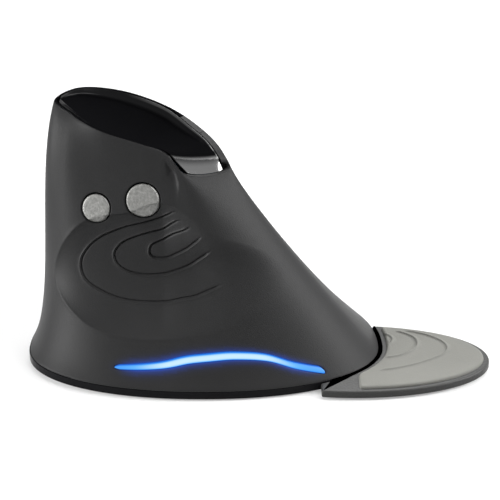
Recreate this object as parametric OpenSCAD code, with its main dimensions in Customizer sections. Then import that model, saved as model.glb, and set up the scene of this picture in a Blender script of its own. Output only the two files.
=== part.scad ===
// Vertical ergonomic mouse with a docked palm rest.
// +X runs along the base towards the palm rest, -Y is the thumb side, +Z is up.
// The outer wall is one surface over a station number s, which runs once round the body,
// and a height share v, from 0 at the base to 1 at the rim.

/* [Body] */
// Length of the base oval
base_length = 104; // [98:1:110]
// Reach of the base oval on the thumb side
base_near = 28.5; // [27:0.5:32]
// Reach of the base oval on the finger side
base_far = 46; // [44:0.5:50]
// Height of the rim's highest point above the desk
body_height = 74.5; // [72:0.5:80]
// Wall thickness of the casing
wall = 2; // [1.6:0.1:2.4]
// Thickness of the base plate
base_thickness = 2.1; // [1.9:0.1:2.6]
// Gap between the desk and the base plate
ground_gap = 0.5; // [0.4:0.1:0.8]
// Depth of the thumb scoop
scoop_depth = 4.6; // [2:0.2:5]

/* [Top cover] */
// Thickness of the top cover
cover_thickness = 1.5; // [1.2:0.1:1.8]
// Depth of the dish in the top cover
dish_depth = 4.2; // [0:0.2:6]
// Width of the casing's thin lip round the top cover
lip = 0.8; // [0.6:0.1:1]
// Gap between the lip and the top cover
cover_gap = 0.25; // [0.2:0.05:0.3]

/* [Keys and thumb buttons] */
// Gap along the long sides of the click keys
key_gap = 0.6; // [0.4:0.1:0.8]
// Gap at the front end of the click keys
key_front_gap = 0.9; // [0.8:0.1:1.2]
// Diameter of the forward thumb button
forward_d = 8.2; // [7:0.1:9]
// Diameter of the back thumb button
back_d = 9.6; // [8:0.1:10.4]
// Gap round a push button
button_gap = 0.35; // [0.25:0.05:0.5]
// How far a thumb button stands proud of the casing
button_proud = 0.5; // [0.3:0.1:1.2]
// Diameter of the sensitivity button
dpi_d = 4.8; // [4:0.1:5.2]

/* [Scroll wheel] */
// Diameter of the scroll wheel
wheel_d = 19; // [17:0.5:20]
// Width of the scroll wheel
wheel_w = 5; // [4:0.2:5.4]
// How far the wheel stands out of the casing
wheel_proud = 3.5; // [2.5:0.1:4]
// Thickness of the rubber tyre
tyre_t = 1.8; // [1:0.1:2.4]
// Diameter of the wheel's axle
axle_d = 2; // [1.6:0.1:2.4]
// Running gap round the axle
axle_gap = 0.05; // [0.03:0.01:0.1]

/* [Electronics] */
// Thickness of the circuit boards
board_t = 1.6; // [1:0.1:1.8]
// Height of the main board's underside above the desk
board_z = 7.4; // [7:0.1:8.4]
// Diameter of the battery cell
cell_d = 14.5; // [14:0.1:15]
// Length of the battery cell's case
cell_l = 49.5; // [48:0.1:50]
// Width of the light strip at its middle
strip_w = 2.2; // [1.6:0.1:2.8]

/* [Palm rest] */
// Reach of the palm rest from the middle of the base oval
rest_reach = 84; // [80:1:90]
// Half length of the palm rest's oval
rest_half_l = 40; // [36:1:44]
// Half width of the palm rest's oval
rest_half_w = 21; // [19:0.5:23]
// Thickness of the palm rest's base
rest_t = 2.2; // [1.8:0.1:2.8]
// Thickness of the palm rest's pad
pad_t = 1.2; // [0.8:0.1:2]
// Gap between the casing's base and the palm rest
rest_gap = 0.4; // [0.3:0.1:0.8]

/* [Hidden] */
$fn = 48;
tiny = 0.01;

// Base oval
base_half = base_length / 2;
oval_power = 2.15;
base_top = ground_gap + base_thickness;
origin = [(rest_reach - base_half) / 2, (base_far - base_near) / 2, 0];

// Twelve stations round the body, from the front tip along the thumb side and back
FOOT_ANGLE = [180, 207, 232, 258, 272, 302, 354, 388, 420, 450, 482, 512];
// Rim points: x, y and drop below the body height
RIM = [
    [-43.5, 19, 0.5], [-38.5, 12.5, 2.5], [-29.5, 5.5, 5], [-18, 3, 8],
    [-11, 2.5, 10.5], [-4, 0, 16.5], [7, 6, 17.5], [6, 9.5, 13.5],
    [0.5, 16.5, 9.5], [-10, 24.5, 5], [-23.5, 30, 2], [-36.5, 28, 0]
];
// Curve handles of each station: plan and height near the foot, plan and height near the rim
LEAN = [
    [0.88, 0.09, 0.34, 0.75], [0.72, 0.26, 0.57, 0.83], [0.38, 0.16, 0.88, 0.75],
    [0.36, 0.16, 0.88, 0.78], [0.34, 0.18, 0.85, 0.85], [0.34, 0.24, 0.78, 0.88],
    [0.38, 0.33, 0.78, 0.76], [0.46, 0.33, 0.92, 0.70], [0.34, 0.33, 0.90, 0.86],
    [0.16, 0.34, 0.90, 0.93], [0.16, 0.34, 0.92, 0.90], [0.30, 0.25, 0.92, 0.85]
];

// Thumb scoop, drawn on a plane tipped back by this angle
draw_tilt = 25;
scoop_centre = [-12, 24];
// Reach of the scoop from its centre at every 30 degrees, counted from +X
SCOOP_REACH = [36, 21, 18.5, 20.6, 20.5, 28, 31.3, 26.5, 20.6, 18.4, 20.4, 27.5];
scoop_first = 0.2;
scoop_last = 5.8;

// Seams between the casing halves, as stations
rear_seam = 8;
front_seam = 11.75;
seam_gap = 0.008;

// Lip and ledge under the top cover
rebate_h = cover_thickness + 0.4;
cover_bevel = 0.8;
cover_front = 0.05;
// Shares of the cover's length where its dish is full, starts to rise and has run out
dish_shares = [0.4, 0.45, 0.84];
ledge_step = 0.6;

// Click keys and centre strip, as stations and height shares
key_rear = 8.9;
key_front = 11.1;
middle_low = 0.37;
strip_low = 0.60;
strip_high = 0.725;
index_high = 0.942;
key_t = wall;

// Wheel and sensitivity button
wheel_s = 10;
wheel_v = (strip_low + strip_high) / 2;
wheel_r = wheel_d / 2;
wheel_z = wheel_proud - wheel_r;
wheel_side_gap = 0.4;
cradle_t = 1.2;
cradle_x = 4;
cradle_y = wheel_w / 2 + wheel_side_gap + cradle_t;
cradle_back = wheel_z - wheel_r - 0.7;
slot_side = 0.6;
slot_x = wheel_r + 0.7;
dpi_x = -13.5;
dpi_proud = 0.8;

// Click switches, push switches and the boards that carry them
case_size = [12.8, 5.8, 6.5];
push_size = [6, 6, 3.5];
push_travel_height = 0.5;
push_d = 3.2;
push_fit = 0.1;
plunger_size = [1.4, 2.6];
plunger_up = 0.8;
contact_gap = 0.15;
contact_x = 4;
contact_y = 12;
rib_size = [2.4, 3];
case_top = -6.9;
click_board_z = case_top - case_size.z;
wheel_switch_at = [-6, 8];
emitter_x = 7.2;
emitter_size = [2.2, 2.2, 7.9];
emitter_y = cradle_y + 2;
click_post_d = 3.6;
click_strip_posts = [[12.8, 0], [-18.9, 0]];
click_post_x = [-14, 6];
click_post_inset = 3;
board_lift = 6.8;
cradle_clear = 0.5;
post_bore = 1.6;
post_sink = 0.5;
post_bore_depth = 4;
board_hole = 2;
// Board screws: grip below the board, head diameter, head thickness
screw_grip = 3;
board_head_d = 3.2;
board_head_t = 1;
// The click board's rear and front ends, top edge and cut corner
click_board_x = [-20.5, 15.5];
click_high = 16;
click_corner = [13.5, 14];

// Thumb buttons, as stations and height shares
forward_at = [1.953, 0.676];
back_at = [2.977, 0.757];
flange_top = -5.8;
flange_t = 0.8;
flange_over = 2;
dpi_flange_over = 1.6;
dpi_skirt = 2.4;
stem_d = 3.4;
stem_end = -7.4;
hole_reach = 12;
thumb_board_z = stem_end - contact_gap - push_travel_height - push_size.z;
thumb_board_half = [17, 4];
thumb_post_x = 15;

// Light strip: stations and height shares along its middle line
WAVE = [[2.384, 0.071], [2.814, 0.084], [3.418, 0.107], [4.043, 0.132], [4.466, 0.147], [4.811, 0.137],
    [5.05, 0.089], [5.257, 0.046]];
strip_rise = 0.82;
strip_taper = 0.3;
strip_gap = 0.12;
guide_depth = wall + 1.2;
chip_t = 0.8;
chip_gap = 0.25;
flex_t = 0.4;
flex_over = 1.2;
CHIP_SHARES = [0.2, 0.4, 0.6, 0.8];
chip_size = [3.5, 2.4];

// Things that stand on the base plate, in the base oval's own frame
casing_posts = [0.35, 6.1, 10.6];
casing_post_r = 2.8;
casing_post_top = 13.5;
casing_bore = 2.1;
casing_bore_depth = 9;
screw_d = 2;
screw_head_d = 4.6;
screw_head_t = 1;
head_room = 0.3;
main_board_at = [-31, -13.5];
main_board_size = [49, 17];
board_corner = 2.8;
board_post_d = 4.4;
slider_inset = 13;
slider_at = [main_board_at.x + main_board_size.x - slider_inset, -8];
sensor_spacing = 13;
sensor_at = [slider_at.x - sensor_spacing, -5];
sensor_size = [11, 9, 3.6];
lens_size = [16, 11, 1.4];
lens_d = 5.4;
lens_gap = 0.4;
aperture_d = 7;
slider_size = [6, 2.6];
slider_travel = 3;
slider_gap = 0.3;
slider_flange = [9, 5, 0.8];
bay_wall = 1.2;
cell_gap = 0.6;
contact_room = 1.6;
contact_plate = 0.4;
cell_nub = [5.5, 1];
cell_centre = [0, 14];
cell_z = base_top + cell_gap + cell_d / 2;
partition_t = 1;
receiver_t = 6.5;
receiver_gap = 0.2;
receiver_cap_size = [8.5, receiver_t, 13];
receiver_plug_size = [12, 4.5, 12];
receiver_x = -14;
door_t = 1.2;
door_gap = 0.2;
door_travel = 4;
door_over = 2;
door_lift = 0.1;
receiver_clear = 0.8;
receiver_bottom = ground_gap + door_lift + door_t + receiver_clear;
foot_recess = 0.3;
// Glide feet: centre x, centre y, length, turn
FEET = [[-41, 13, 15, 90], [0, 39.5, 22, 0], [-12, -22.5, 22, 0], [22, -19.5, 14, 18], [42, 13, 13, 90]];
foot_w = 5.5;

// Palm rest
rest_centre = [rest_reach - rest_half_l, -7.3];
rest_bottom = 0.6;
rest_cut_x = 34;
pad_edge = 1.6;
pad_lip = 2.2;
pad_start_x = 45;
rest_turn = -14;
tongue_x = [39, 52];
tongue_half = 9.5;
tongue_t = 0.95;
tongue_gap = 0.25;
REST_FEET = [[44, -22.5], [76, -8], [61, 4]];
rest_foot_d = 8;

// Colours
charcoal = [0.20, 0.20, 0.20];
gloss_black = [0.05, 0.05, 0.055];
satin_silver = [0.62, 0.61, 0.59];
pad_grey = [0.56, 0.56, 0.52];
board_green = [0.10, 0.30, 0.18];
metal = [0.72, 0.72, 0.74];
switch_black = [0.12, 0.12, 0.13];
plunger_red = [0.70, 0.16, 0.12];
glow_blue = [0.45, 0.72, 1.0];

// The surface of the body
function unit(a) = a / norm(a);
function signed_power(a, p) = sign(a) * pow(abs(a), p);
function oval(angle) =
    let (e = 2 / oval_power, reach = sin(angle) < 0 ? base_near : base_far)
    [base_half * signed_power(cos(angle), e), reach * signed_power(sin(angle), e)];
function oval_out(angle, out) =
    let (along = unit(oval(angle + 1) - oval(angle - 1)))
    oval(angle) + out * [along.y, -along.x];
function oval_outline(out) = [for (k = [0 : 95]) oval_out(k * 3.75 + 0.5, out)];
function spline(a, b, c, d, f) =
    (2 * b + (c - a) * f + (2 * a - 5 * b + 4 * c - d) * f * f + (3 * b - a - 3 * c + d) * f * f * f) / 2;
function row(i) =
    let (n = len(RIM), turn = floor(i / n), k = i - n * turn)
    concat([FOOT_ANGLE[k] + 360 * turn, RIM[k].x, RIM[k].y, body_height - RIM[k].z], LEAN[k]);
function station(s) = let (i = floor(s)) spline(row(i - 1), row(i), row(i + 1), row(i + 2), s - i);
function rise(a, b, t) = 3 * a * t * (1 - t) * (1 - t) + 3 * b * t * t * (1 - t) + t * t * t;
function rise_rate(a, b, t) = 3 * a * (1 - t) * (1 - 3 * t) + 3 * b * t * (2 - 3 * t) + 3 * t * t;
function along_curve(a, b, v, t, steps) = steps == 0 ? t :
    along_curve(a, b, v, min(1, max(0, t - (rise(a, b, t) - v) / rise_rate(a, b, t))), steps - 1);
function wall_height(s) = station(s)[3] - base_top;
function outer(s, v) =
    let (r = station(s), t = along_curve(r[5], r[7], v, v, 8), f = oval(r[0]), u = rise(r[4], r[6], t))
    [f.x + (r[1] - f.x) * u, f.y + (r[2] - f.y) * u, base_top + (r[3] - base_top) * v];
function facing(s, v) =
    let (h = 0.002, low = max(0, v - h), high = min(1, v + h))
    unit(cross(outer(s + h, v) - outer(s - h, v), outer(s, high) - outer(s, low)));
function scoop_reach(angle) =
    let (n = len(SCOOP_REACH), k = angle * n / 360, i = floor(k))
    spline(SCOOP_REACH[(i + n - 1) % n], SCOOP_REACH[(i + n) % n], SCOOP_REACH[(i + n + 1) % n],
        SCOOP_REACH[(i + n + 2) % n], k - i);
function scoop(p) =
    let (d = [p.x, p.z * cos(draw_tilt) + p.y * sin(draw_tilt)] - scoop_centre,
        angle = atan2(d.y, d.x), share = norm(d) / scoop_reach(angle < 0 ? angle + 360 : angle))
    share >= 1 ? 0 : scoop_depth * pow(1 - share * share, 1 + max(0, cos(angle)));
function dent(s, p) = s > scoop_first && s < scoop_last ? scoop(p) : 0;
// A point this deep under the outer surface, with the scoop's dent
function skin(s, v, depth) =
    let (p = outer(s, v), n = facing(s, v), inward = -[n.x, n.y, 0] / (n.x * n.x + n.y * n.y))
    p + inward * (depth + dent(s, p));
function steps(a, b, n) = [for (k = [0 : n]) a + (b - a) * k / n];
function gap_share(gap, s) = gap / wall_height(s);
function gap_stations(gap, s, v) = gap * 0.02 / norm(outer(s + 0.01, v) - outer(s - 0.01, v));

// A closed solid between two grids of points; hole leaves out a block of cells
module between(front, back, hole = [0, 0, 0, 0]) {
    columns = len(front);
    rows = len(front[0]);
    function at(i, j, k) = (i * rows + j) * 2 + k;
    function full(i, j) = i >= 0 && i < columns - 1 && j >= 0 && j < rows - 1
        && !(i >= hole[0] && i < hole[1] && j >= hole[2] && j < hole[3]);
    function side(a, b, c, d) = [[a, b, c], [a, c, d]];
    points = [for (i = [0 : columns - 1]) for (j = [0 : rows - 1]) each [front[i][j], back[i][j]]];
    faces = [for (i = [0 : columns - 2]) for (j = [0 : rows - 2]) if (full(i, j))
        let (a = at(i, j, 0), b = at(i + 1, j, 0), c = at(i + 1, j + 1, 0), d = at(i, j + 1, 0))
        each concat(
            side(a, d, c, b),
            side(a + 1, b + 1, c + 1, d + 1),
            full(i - 1, j) ? [] : side(d, a, a + 1, d + 1),
            full(i, j + 1) ? [] : side(c, d, d + 1, c + 1),
            full(i + 1, j) ? [] : side(b, c, c + 1, b + 1),
            full(i, j - 1) ? [] : side(a, b, b + 1, a + 1))];
    polyhedron(points, faces);
}

// A piece of the casing's wall over lists of stations and height shares
module wall_piece(ss, vv, thickness) {
    between([for (s = ss) [for (v = vv) skin(s, v, 0)]], [for (s = ss) [for (v = vv) skin(s, v, thickness)]]);
}

// The casing's wall up to the rim, with its thin lip
module casing(ss, vv, hole) {
    function shares(s) = concat(vv, [for (h = [rebate_h + ledge_step, rebate_h, 0]) 1 - gap_share(h, s)]);
    function depth(j) = j <= len(vv) ? wall : lip;
    function grid(inner) = [for (s = ss) let (all = shares(s))
        [for (j = [0 : len(all) - 1]) skin(s, all[j], inner ? depth(j) : 0)]];
    between(grid(false), grid(true), hole);
}

module placed() {
    translate(-origin)
        children();
}

module in_frame(axes, at) {
    multmatrix([
        [axes[0].x, axes[1].x, axes[2].x, at.x],
        [axes[0].y, axes[1].y, axes[2].y, at.y],
        [axes[0].z, axes[1].z, axes[2].z, at.z],
        [0, 0, 0, 1]])
        children();
}

function axes_from(out, along) = let (x = unit(along - out * (along * out))) [x, cross(out, x), out];

// The finger side's frame: x forward along the wall, y up the wall, z out of it
finger_at = outer(wheel_s, wheel_v);
finger_axes = axes_from(facing(wheel_s, wheel_v),
    outer(wheel_s + 0.01, wheel_v) - outer(wheel_s - 0.01, wheel_v));
function in_finger(p) = let (d = p - finger_at) [d * finger_axes[0], d * finger_axes[1], d * finger_axes[2]];

module finger_frame() {
    in_frame(finger_axes, finger_at)
        children();
}

// The thumb buttons' frame: x from the back button to the forward one, z out of the wall
forward_point = outer(forward_at[0], forward_at[1]);
back_point = outer(back_at[0], back_at[1]);
thumb_at = (forward_point + back_point) / 2;
thumb_out = unit(facing(forward_at[0], forward_at[1]) + facing(back_at[0], back_at[1]));
thumb_axes = axes_from(thumb_out, forward_point - back_point);
function in_thumb(p) = let (d = p - thumb_at) [d * thumb_axes[0], d * thumb_axes[1], d * thumb_axes[2]];
forward_local = in_thumb(forward_point);
back_local = in_thumb(back_point);

module thumb_frame() {
    in_frame(thumb_axes, thumb_at)
        children();
}

// How far out the wall lies in the finger frame, at these places along it and up it
finger_span = norm(outer(wheel_s, wheel_v) - outer(wheel_s - 1, wheel_v));
function finger_wall_z(x, y) =
    in_finger(outer(wheel_s + x / finger_span, wheel_v + gap_share(y, wheel_s))).z;
dpi_wall_z = finger_wall_z(dpi_x, 0);

// The click board's lower edge stays clear of the stored receiver
click_low = (receiver_bottom + receiver_cap_size.z + board_lift - finger_at.z) / finger_axes[1].z;
click_shell_posts = [for (x = click_post_x) [x, click_low + click_post_inset]];

// Edges of the keys beside the strip
index_low = strip_high + gap_share(key_gap, wheel_s);
middle_high = strip_low - gap_share(key_gap, wheel_s);

// Common shapes
module pill(length, width, height) {
    straight = length - width;
    translate([-straight / 2, -width / 2, 0])
        cube([straight, width, height]);
    for (side = [-1, 1])
        translate([side * straight / 2, 0, 0])
            cylinder(d = width, h = height);
}

module centred_box(size, z) {
    translate([-size.x / 2, -size.y / 2, z])
        cube([size.x, size.y, size.z]);
}

// A small screw whose head's underside is at z = 0 and whose shank points down
module small_screw(shank_d, shank_l, head_d, head_t) {
    translate([0, 0, -shank_l])
        cylinder(d = shank_d, h = shank_l + tiny);
    difference() {
        cylinder(d = head_d, h = head_t);
        for (turn = [0, 90])
            rotate([0, 0, turn])
                centred_box([head_d * 0.6, head_d * 0.16, head_t], head_t * 0.5);
    }
}

// A push switch standing on z = 0
module push_case() {
    difference() {
        centred_box(push_size, 0);
        translate([0, 0, push_size.z - 2])
            cylinder(d = push_d + 2 * push_fit, h = 3);
    }
}

module push_plunger() {
    bottom = push_size.z - 1.4;
    translate([0, 0, bottom])
        cylinder(d = push_d, h = push_size.z + push_travel_height - bottom);
}

// A click switch whose top face is at z = 0
module click_case() {
    difference() {
        centred_box(case_size, -case_size.z);
        centred_box([plunger_size.x + 2 * push_fit, plunger_size.y + 2 * push_fit, 4], -3);
    }
}

module click_plunger() {
    centred_box([plunger_size.x, plunger_size.y, plunger_up + 1.8], -1.8);
}

// Casing posts stand against the wall's inside at these places
function post_at(s) =
    let (p = skin(s, gap_share(casing_post_top - base_top, s), wall * post_sink + casing_post_r))
    [p.x, p.y];

module casing_post(s) {
    translate([post_at(s).x, post_at(s).y, base_top])
        cylinder(r = casing_post_r, h = casing_post_top - base_top);
}

module casing_post_bore(s) {
    translate([post_at(s).x, post_at(s).y, base_top - tiny])
        cylinder(d = casing_bore, h = casing_bore_depth);
}

// Rows of the casing below the ledge
body_rows = steps(0, 0.93, 22);
window_low = middle_low - gap_share(key_gap, wheel_s);
window_high = index_high + gap_share(key_gap, wheel_s);
low_rows = steps(0, window_low, 8);
window_rows = steps(window_low, window_high, 10);
window_rear = key_rear - gap_stations(key_gap, key_rear, wheel_v);
window_front = key_front + gap_stations(key_front_gap, key_front, wheel_v);
rear_columns = steps(rear_seam + seam_gap, window_rear, 6);
window_columns = steps(window_rear, window_front, 16);
front_columns = steps(window_front, front_seam - seam_gap, 5);
key_columns = steps(key_rear, key_front, 16);
function after(list) = [for (k = [1 : len(list) - 1]) list[k]];

module thumb_shell() {
    color(charcoal)
    placed()
    difference() {
        union() {
            casing(steps(front_seam - len(RIM), rear_seam, 66), body_rows, [0, 0, 0, 0]);
            for (k = [0, 1])
                casing_post(casing_posts[k]);
            thumb_frame()
                for (side = [-1, 1])
                    translate([side * thumb_post_x, 0, thumb_board_z])
                        cylinder(d = click_post_d, h = -thumb_board_z - wall - 1.2);
        }
        for (k = [0, 1])
            casing_post_bore(casing_posts[k]);
        thumb_frame() {
            for (side = [-1, 1])
                translate([side * thumb_post_x, 0, thumb_board_z - tiny])
                    cylinder(d = post_bore, h = post_bore_depth);
            button_hole(forward_local, forward_d);
            button_hole(back_local, back_d);
        }
        strip_solid(strip_w + 2 * strip_gap, -3, wall + 4, strip_gap);
    }
}

module button_hole(local, d) {
    translate([local.x, local.y, flange_top + 0.3])
        cylinder(d = d + 2 * button_gap, h = hole_reach);
}

module finger_shell() {
    color(charcoal)
    placed()
    difference() {
        union() {
            casing(concat(rear_columns, after(window_columns), after(front_columns)),
                concat(low_rows, after(window_rows)),
                [len(rear_columns) - 1, len(rear_columns) + len(window_columns) - 2,
                    len(low_rows) - 1, len(low_rows) + len(window_rows) - 2]);
            casing_post(casing_posts[2]);
            finger_frame()
                for (p = click_shell_posts)
                    translate([p.x, p.y, click_board_z])
                        cylinder(d = click_post_d,
                            h = finger_wall_z(p.x, p.y) - wall * post_sink - click_board_z);
        }
        casing_post_bore(casing_posts[2]);
        finger_frame()
            for (p = click_shell_posts)
                translate([p.x, p.y, click_board_z - tiny])
                    cylinder(d = post_bore, h = post_bore_depth);
    }
}

// The top cover: ruled between the two long rims, dished, with its rear end on the rear rim
function rim_along(s) = let (d = outer(s + 0.01, 1) - outer(s - 0.01, 1)) unit([d.x, d.y]);
function cover_edge(s, inset) =
    let (n = facing(s, 1), a = rim_along(s), reach = (lip + cover_gap + inset) / norm([n.x, n.y]))
    outer(s, 1) + reach * [-a.y, a.x, 0];
function cover_ruled(u, w, inset) =
    cover_edge(5 * u, inset) * (1 - w) + cover_edge(12 - 6 * u, inset) * w;
function ease(low, high, x) = let (k = min(1, max(0, (x - low) / (high - low)))) k * k * (3 - 2 * k);
function cover_sag(u, w) =
    dish_depth * pow(4 * w * (1 - w), 0.75) * ease(cover_front, dish_shares[0], u)
    * (1 - ease(dish_shares[1], dish_shares[2], u));
function cover_point(u, w, inset, depth) =
    cover_ruled(u, w, inset) + (cover_edge(5 + w, inset) - cover_ruled(1, w, inset)) * u * u
    - [0, 0, cover_sag(u, w) + depth];

module top_cover() {
    uu = steps(cover_front, 1, 22);
    ww = steps(0, 1, 10);
    color(gloss_black)
    placed()
        between([for (u = uu) [for (w = ww) cover_point(u, w, 0, 0)]],
            [for (u = uu) [for (w = ww) cover_point(u, w, cover_bevel, cover_thickness)]]);
}

module centre_strip() {
    color(gloss_black)
    placed()
    difference() {
        union() {
            wall_piece(key_columns, steps(strip_low, strip_high, 4), wall);
            finger_frame()
                for (p = click_strip_posts)
                    translate([p.x, p.y, click_board_z])
                        cylinder(d = click_post_d, h = finger_wall_z(p.x, p.y) - wall - click_board_z);
        }
        finger_frame() {
            translate([-slot_x, -wheel_w / 2 - slot_side, -wall * 6])
                cube([2 * slot_x, wheel_w + 2 * slot_side, wall * 12]);
            translate([dpi_x, 0, dpi_wall_z - hole_reach / 2])
                cylinder(d = dpi_d + 2 * button_gap, h = hole_reach);
            for (p = click_strip_posts)
                translate([p.x, p.y, click_board_z - tiny])
                    cylinder(d = post_bore, h = post_bore_depth);
        }
    }
}

// A click key with its rib that reaches the switch's plunger
module click_key(low, high, y) {
    rib_end = case_top + plunger_up + contact_gap;
    rib_root = finger_wall_z(contact_x, y) - key_t * post_sink;
    wall_piece(key_columns, steps(low, high, 5), key_t);
    finger_frame()
        translate([contact_x, y, rib_end])
            centred_box([rib_size.x, rib_size.y, rib_root - rib_end], 0);
}

module index_key() {
    color(charcoal)
    placed()
        click_key(index_low, index_high, contact_y);
}

module middle_key() {
    color(charcoal)
    placed()
        click_key(middle_low, middle_high, -contact_y);
}

// The light strip's middle line and width, for a share u of its length
function wave(u) =
    let (n = len(WAVE) - 1, k = min(n - 1, floor(u * n)), a = max(0, k - 1), d = min(n, k + 2))
    spline(WAVE[a], WAVE[k], WAVE[k + 1], WAVE[d], u * n - k);
function wave_half(u, width) = width / 2 * min(1, 0.45 + u / strip_taper * 0.55);

module strip_solid(width, front, back, ends) {
    uu = steps(0, 1, 30);
    function place(u, side) =
        let (c = wave(u), shift = (u == 0 ? -1 : u == 1 ? 1 : 0) * gap_stations(ends + tiny, c[0], c[1]))
        [c[0] + shift, c[1] + side * gap_share(wave_half(u, width) * strip_rise, c[0])];
    between([for (u = uu) [for (side = [-1, 0, 1]) let (q = place(u, side)) skin(q[0], q[1], front)]],
        [for (u = uu) [for (side = [-1, 0, 1]) let (q = place(u, side)) skin(q[0], q[1], back)]]);
}

module light_guide() {
    color(glow_blue)
    placed()
        strip_solid(strip_w, -0.05, guide_depth, 0);
}

flex_depth = guide_depth + chip_gap + chip_t;

module light_flex() {
    color(board_green)
    placed()
        strip_solid(strip_w + 2 * flex_over, flex_depth, flex_depth + flex_t, 0);
}

module light_chips() {
    color("white")
    placed()
        for (u = CHIP_SHARES) {
            c = wave(u);
            out = facing(c[0], c[1]);
            back = skin(c[0], c[1], flex_depth - 0.02);
            in_frame(axes_from(out, outer(c[0] + 0.01, c[1]) - outer(c[0] - 0.01, c[1])), back)
                centred_box([chip_size.x, chip_size.y, chip_t - 0.12], 0.06);
        }
}

// A round push button that stands proud of the wall, with its retaining flange and stem
module push_button(top, d, under, over) {
    translate([0, 0, under])
        cylinder(d = d, h = top - under);
    translate([0, 0, under - flange_t])
        cylinder(d = d + over, h = flange_t + tiny);
}

module thumb_button(local, d) {
    translate([local.x, local.y, 0]) {
        push_button(local.z + button_proud, d, flange_top, flange_over);
        translate([0, 0, stem_end])
            cylinder(d = stem_d, h = flange_top - flange_t - stem_end + tiny);
    }
}

module forward_button() {
    color(satin_silver)
    placed()
    thumb_frame()
        thumb_button(forward_local, forward_d);
}

module back_button() {
    color(satin_silver)
    placed()
    thumb_frame()
        thumb_button(back_local, back_d);
}

module thumb_board() {
    color(board_green)
    placed()
    thumb_frame()
    difference() {
        translate([-thumb_board_half.x, -thumb_board_half.y, thumb_board_z - board_t])
            cube([2 * thumb_board_half.x, 2 * thumb_board_half.y, board_t]);
        for (side = [-1, 1])
            translate([side * thumb_post_x, 0, thumb_board_z - board_t - 1])
                cylinder(d = board_hole, h = board_t + 2);
    }
}

module thumb_board_screws() {
    color(metal)
    placed()
    thumb_frame()
        for (side = [-1, 1])
            translate([side * thumb_post_x, 0, thumb_board_z - board_t])
                rotate([180, 0, 0])
                    small_screw(post_bore - 0.1, board_t + screw_grip, board_head_d, board_head_t);
}

module thumb_switch_place(local) {
    placed()
    thumb_frame()
        translate([local.x, local.y, thumb_board_z])
            children();
}

module forward_switch() {
    color(switch_black)
    thumb_switch_place(forward_local)
        push_case();
}

module back_switch() {
    color(switch_black)
    thumb_switch_place(back_local)
        push_case();
}

module forward_plunger() {
    color(plunger_red)
    thumb_switch_place(forward_local)
        push_plunger();
}

module back_plunger() {
    color(plunger_red)
    thumb_switch_place(back_local)
        push_plunger();
}

// Wheel parts are drawn with the axle along the finger frame's y
module at_wheel() {
    placed()
    finger_frame()
        translate([0, 0, wheel_z])
            rotate([-90, 0, 0])
                children();
}

hub_r = wheel_r - tyre_t;

module wheel_hub() {
    spokes = 12;
    color(switch_black)
    at_wheel()
    difference() {
        translate([0, 0, -wheel_w / 2])
            cylinder(r = hub_r, h = wheel_w);
        translate([0, 0, -wheel_w])
            cylinder(d = axle_d, h = 2 * wheel_w);
        for (k = [0 : spokes - 1])
            rotate([0, 0, k * 360 / spokes])
                translate([hub_r * 0.72, 0, -wheel_w])
                    cylinder(r = hub_r * 0.13, h = 2 * wheel_w);
    }
}

module wheel_tyre() {
    ribs = 24;
    color(gloss_black)
    at_wheel()
    difference() {
        translate([0, 0, -wheel_w / 2])
            cylinder(r = wheel_r, h = wheel_w);
        translate([0, 0, -wheel_w])
            cylinder(r = hub_r, h = 2 * wheel_w);
        for (k = [0 : ribs - 1])
            rotate([0, 0, k * 360 / ribs])
                translate([wheel_r + 0.35, 0, -wheel_w])
                    cylinder(r = 0.7, h = 2 * wheel_w);
    }
}

module wheel_axle() {
    color(metal)
    at_wheel()
        translate([0, 0, -cradle_y])
            cylinder(d = axle_d, h = 2 * cradle_y);
}

module wheel_cradle() {
    inner_y = cradle_y - cradle_t;
    arm_bottom = click_board_z + push_size.z + push_travel_height + contact_gap;
    arm_end = contact_x - case_size.x / 2 - cradle_clear;
    arm_half = 2.5;
    color(switch_black)
    placed()
    finger_frame()
    difference() {
        union() {
            for (side = [-1, 1])
                translate([-cradle_x, side > 0 ? inner_y : -cradle_y, cradle_back - cradle_t])
                    cube([2 * cradle_x, cradle_t, wheel_z + axle_d + 0.8 - cradle_back + cradle_t]);
            translate([-cradle_x, -cradle_y, cradle_back - cradle_t])
                cube([2 * cradle_x, 2 * cradle_y, cradle_t]);
            translate([wheel_switch_at.x - arm_half, inner_y, arm_bottom])
                cube([arm_end - wheel_switch_at.x + arm_half,
                    wheel_switch_at.y + arm_half - inner_y, cradle_t]);
        }
        translate([0, 0, wheel_z])
            rotate([90, 0, 0])
                cylinder(d = axle_d + 2 * axle_gap, h = 4 * cradle_y, center = true);
    }
}

module on_click_board(x, y) {
    placed()
    finger_frame()
        translate([x, y, click_board_z])
            children();
}

module wheel_switch() {
    color(switch_black)
    on_click_board(wheel_switch_at.x, wheel_switch_at.y)
        push_case();
}

module wheel_plunger() {
    color(plunger_red)
    on_click_board(wheel_switch_at.x, wheel_switch_at.y)
        push_plunger();
}

module dpi_button() {
    plunger_top = click_board_z + push_size.z + push_travel_height;
    under = dpi_wall_z - wall - dpi_skirt;
    color(satin_silver)
    placed()
    finger_frame()
        translate([dpi_x, 0, 0]) {
            push_button(dpi_wall_z + dpi_proud, dpi_d, under, dpi_flange_over);
            translate([0, 0, plunger_top + contact_gap])
                cylinder(d = stem_d - 0.6, h = under - flange_t - plunger_top - contact_gap + tiny);
        }
}

module dpi_switch() {
    color(switch_black)
    on_click_board(dpi_x, 0)
        push_case();
}

module dpi_plunger() {
    color(plunger_red)
    on_click_board(dpi_x, 0)
        push_plunger();
}

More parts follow.
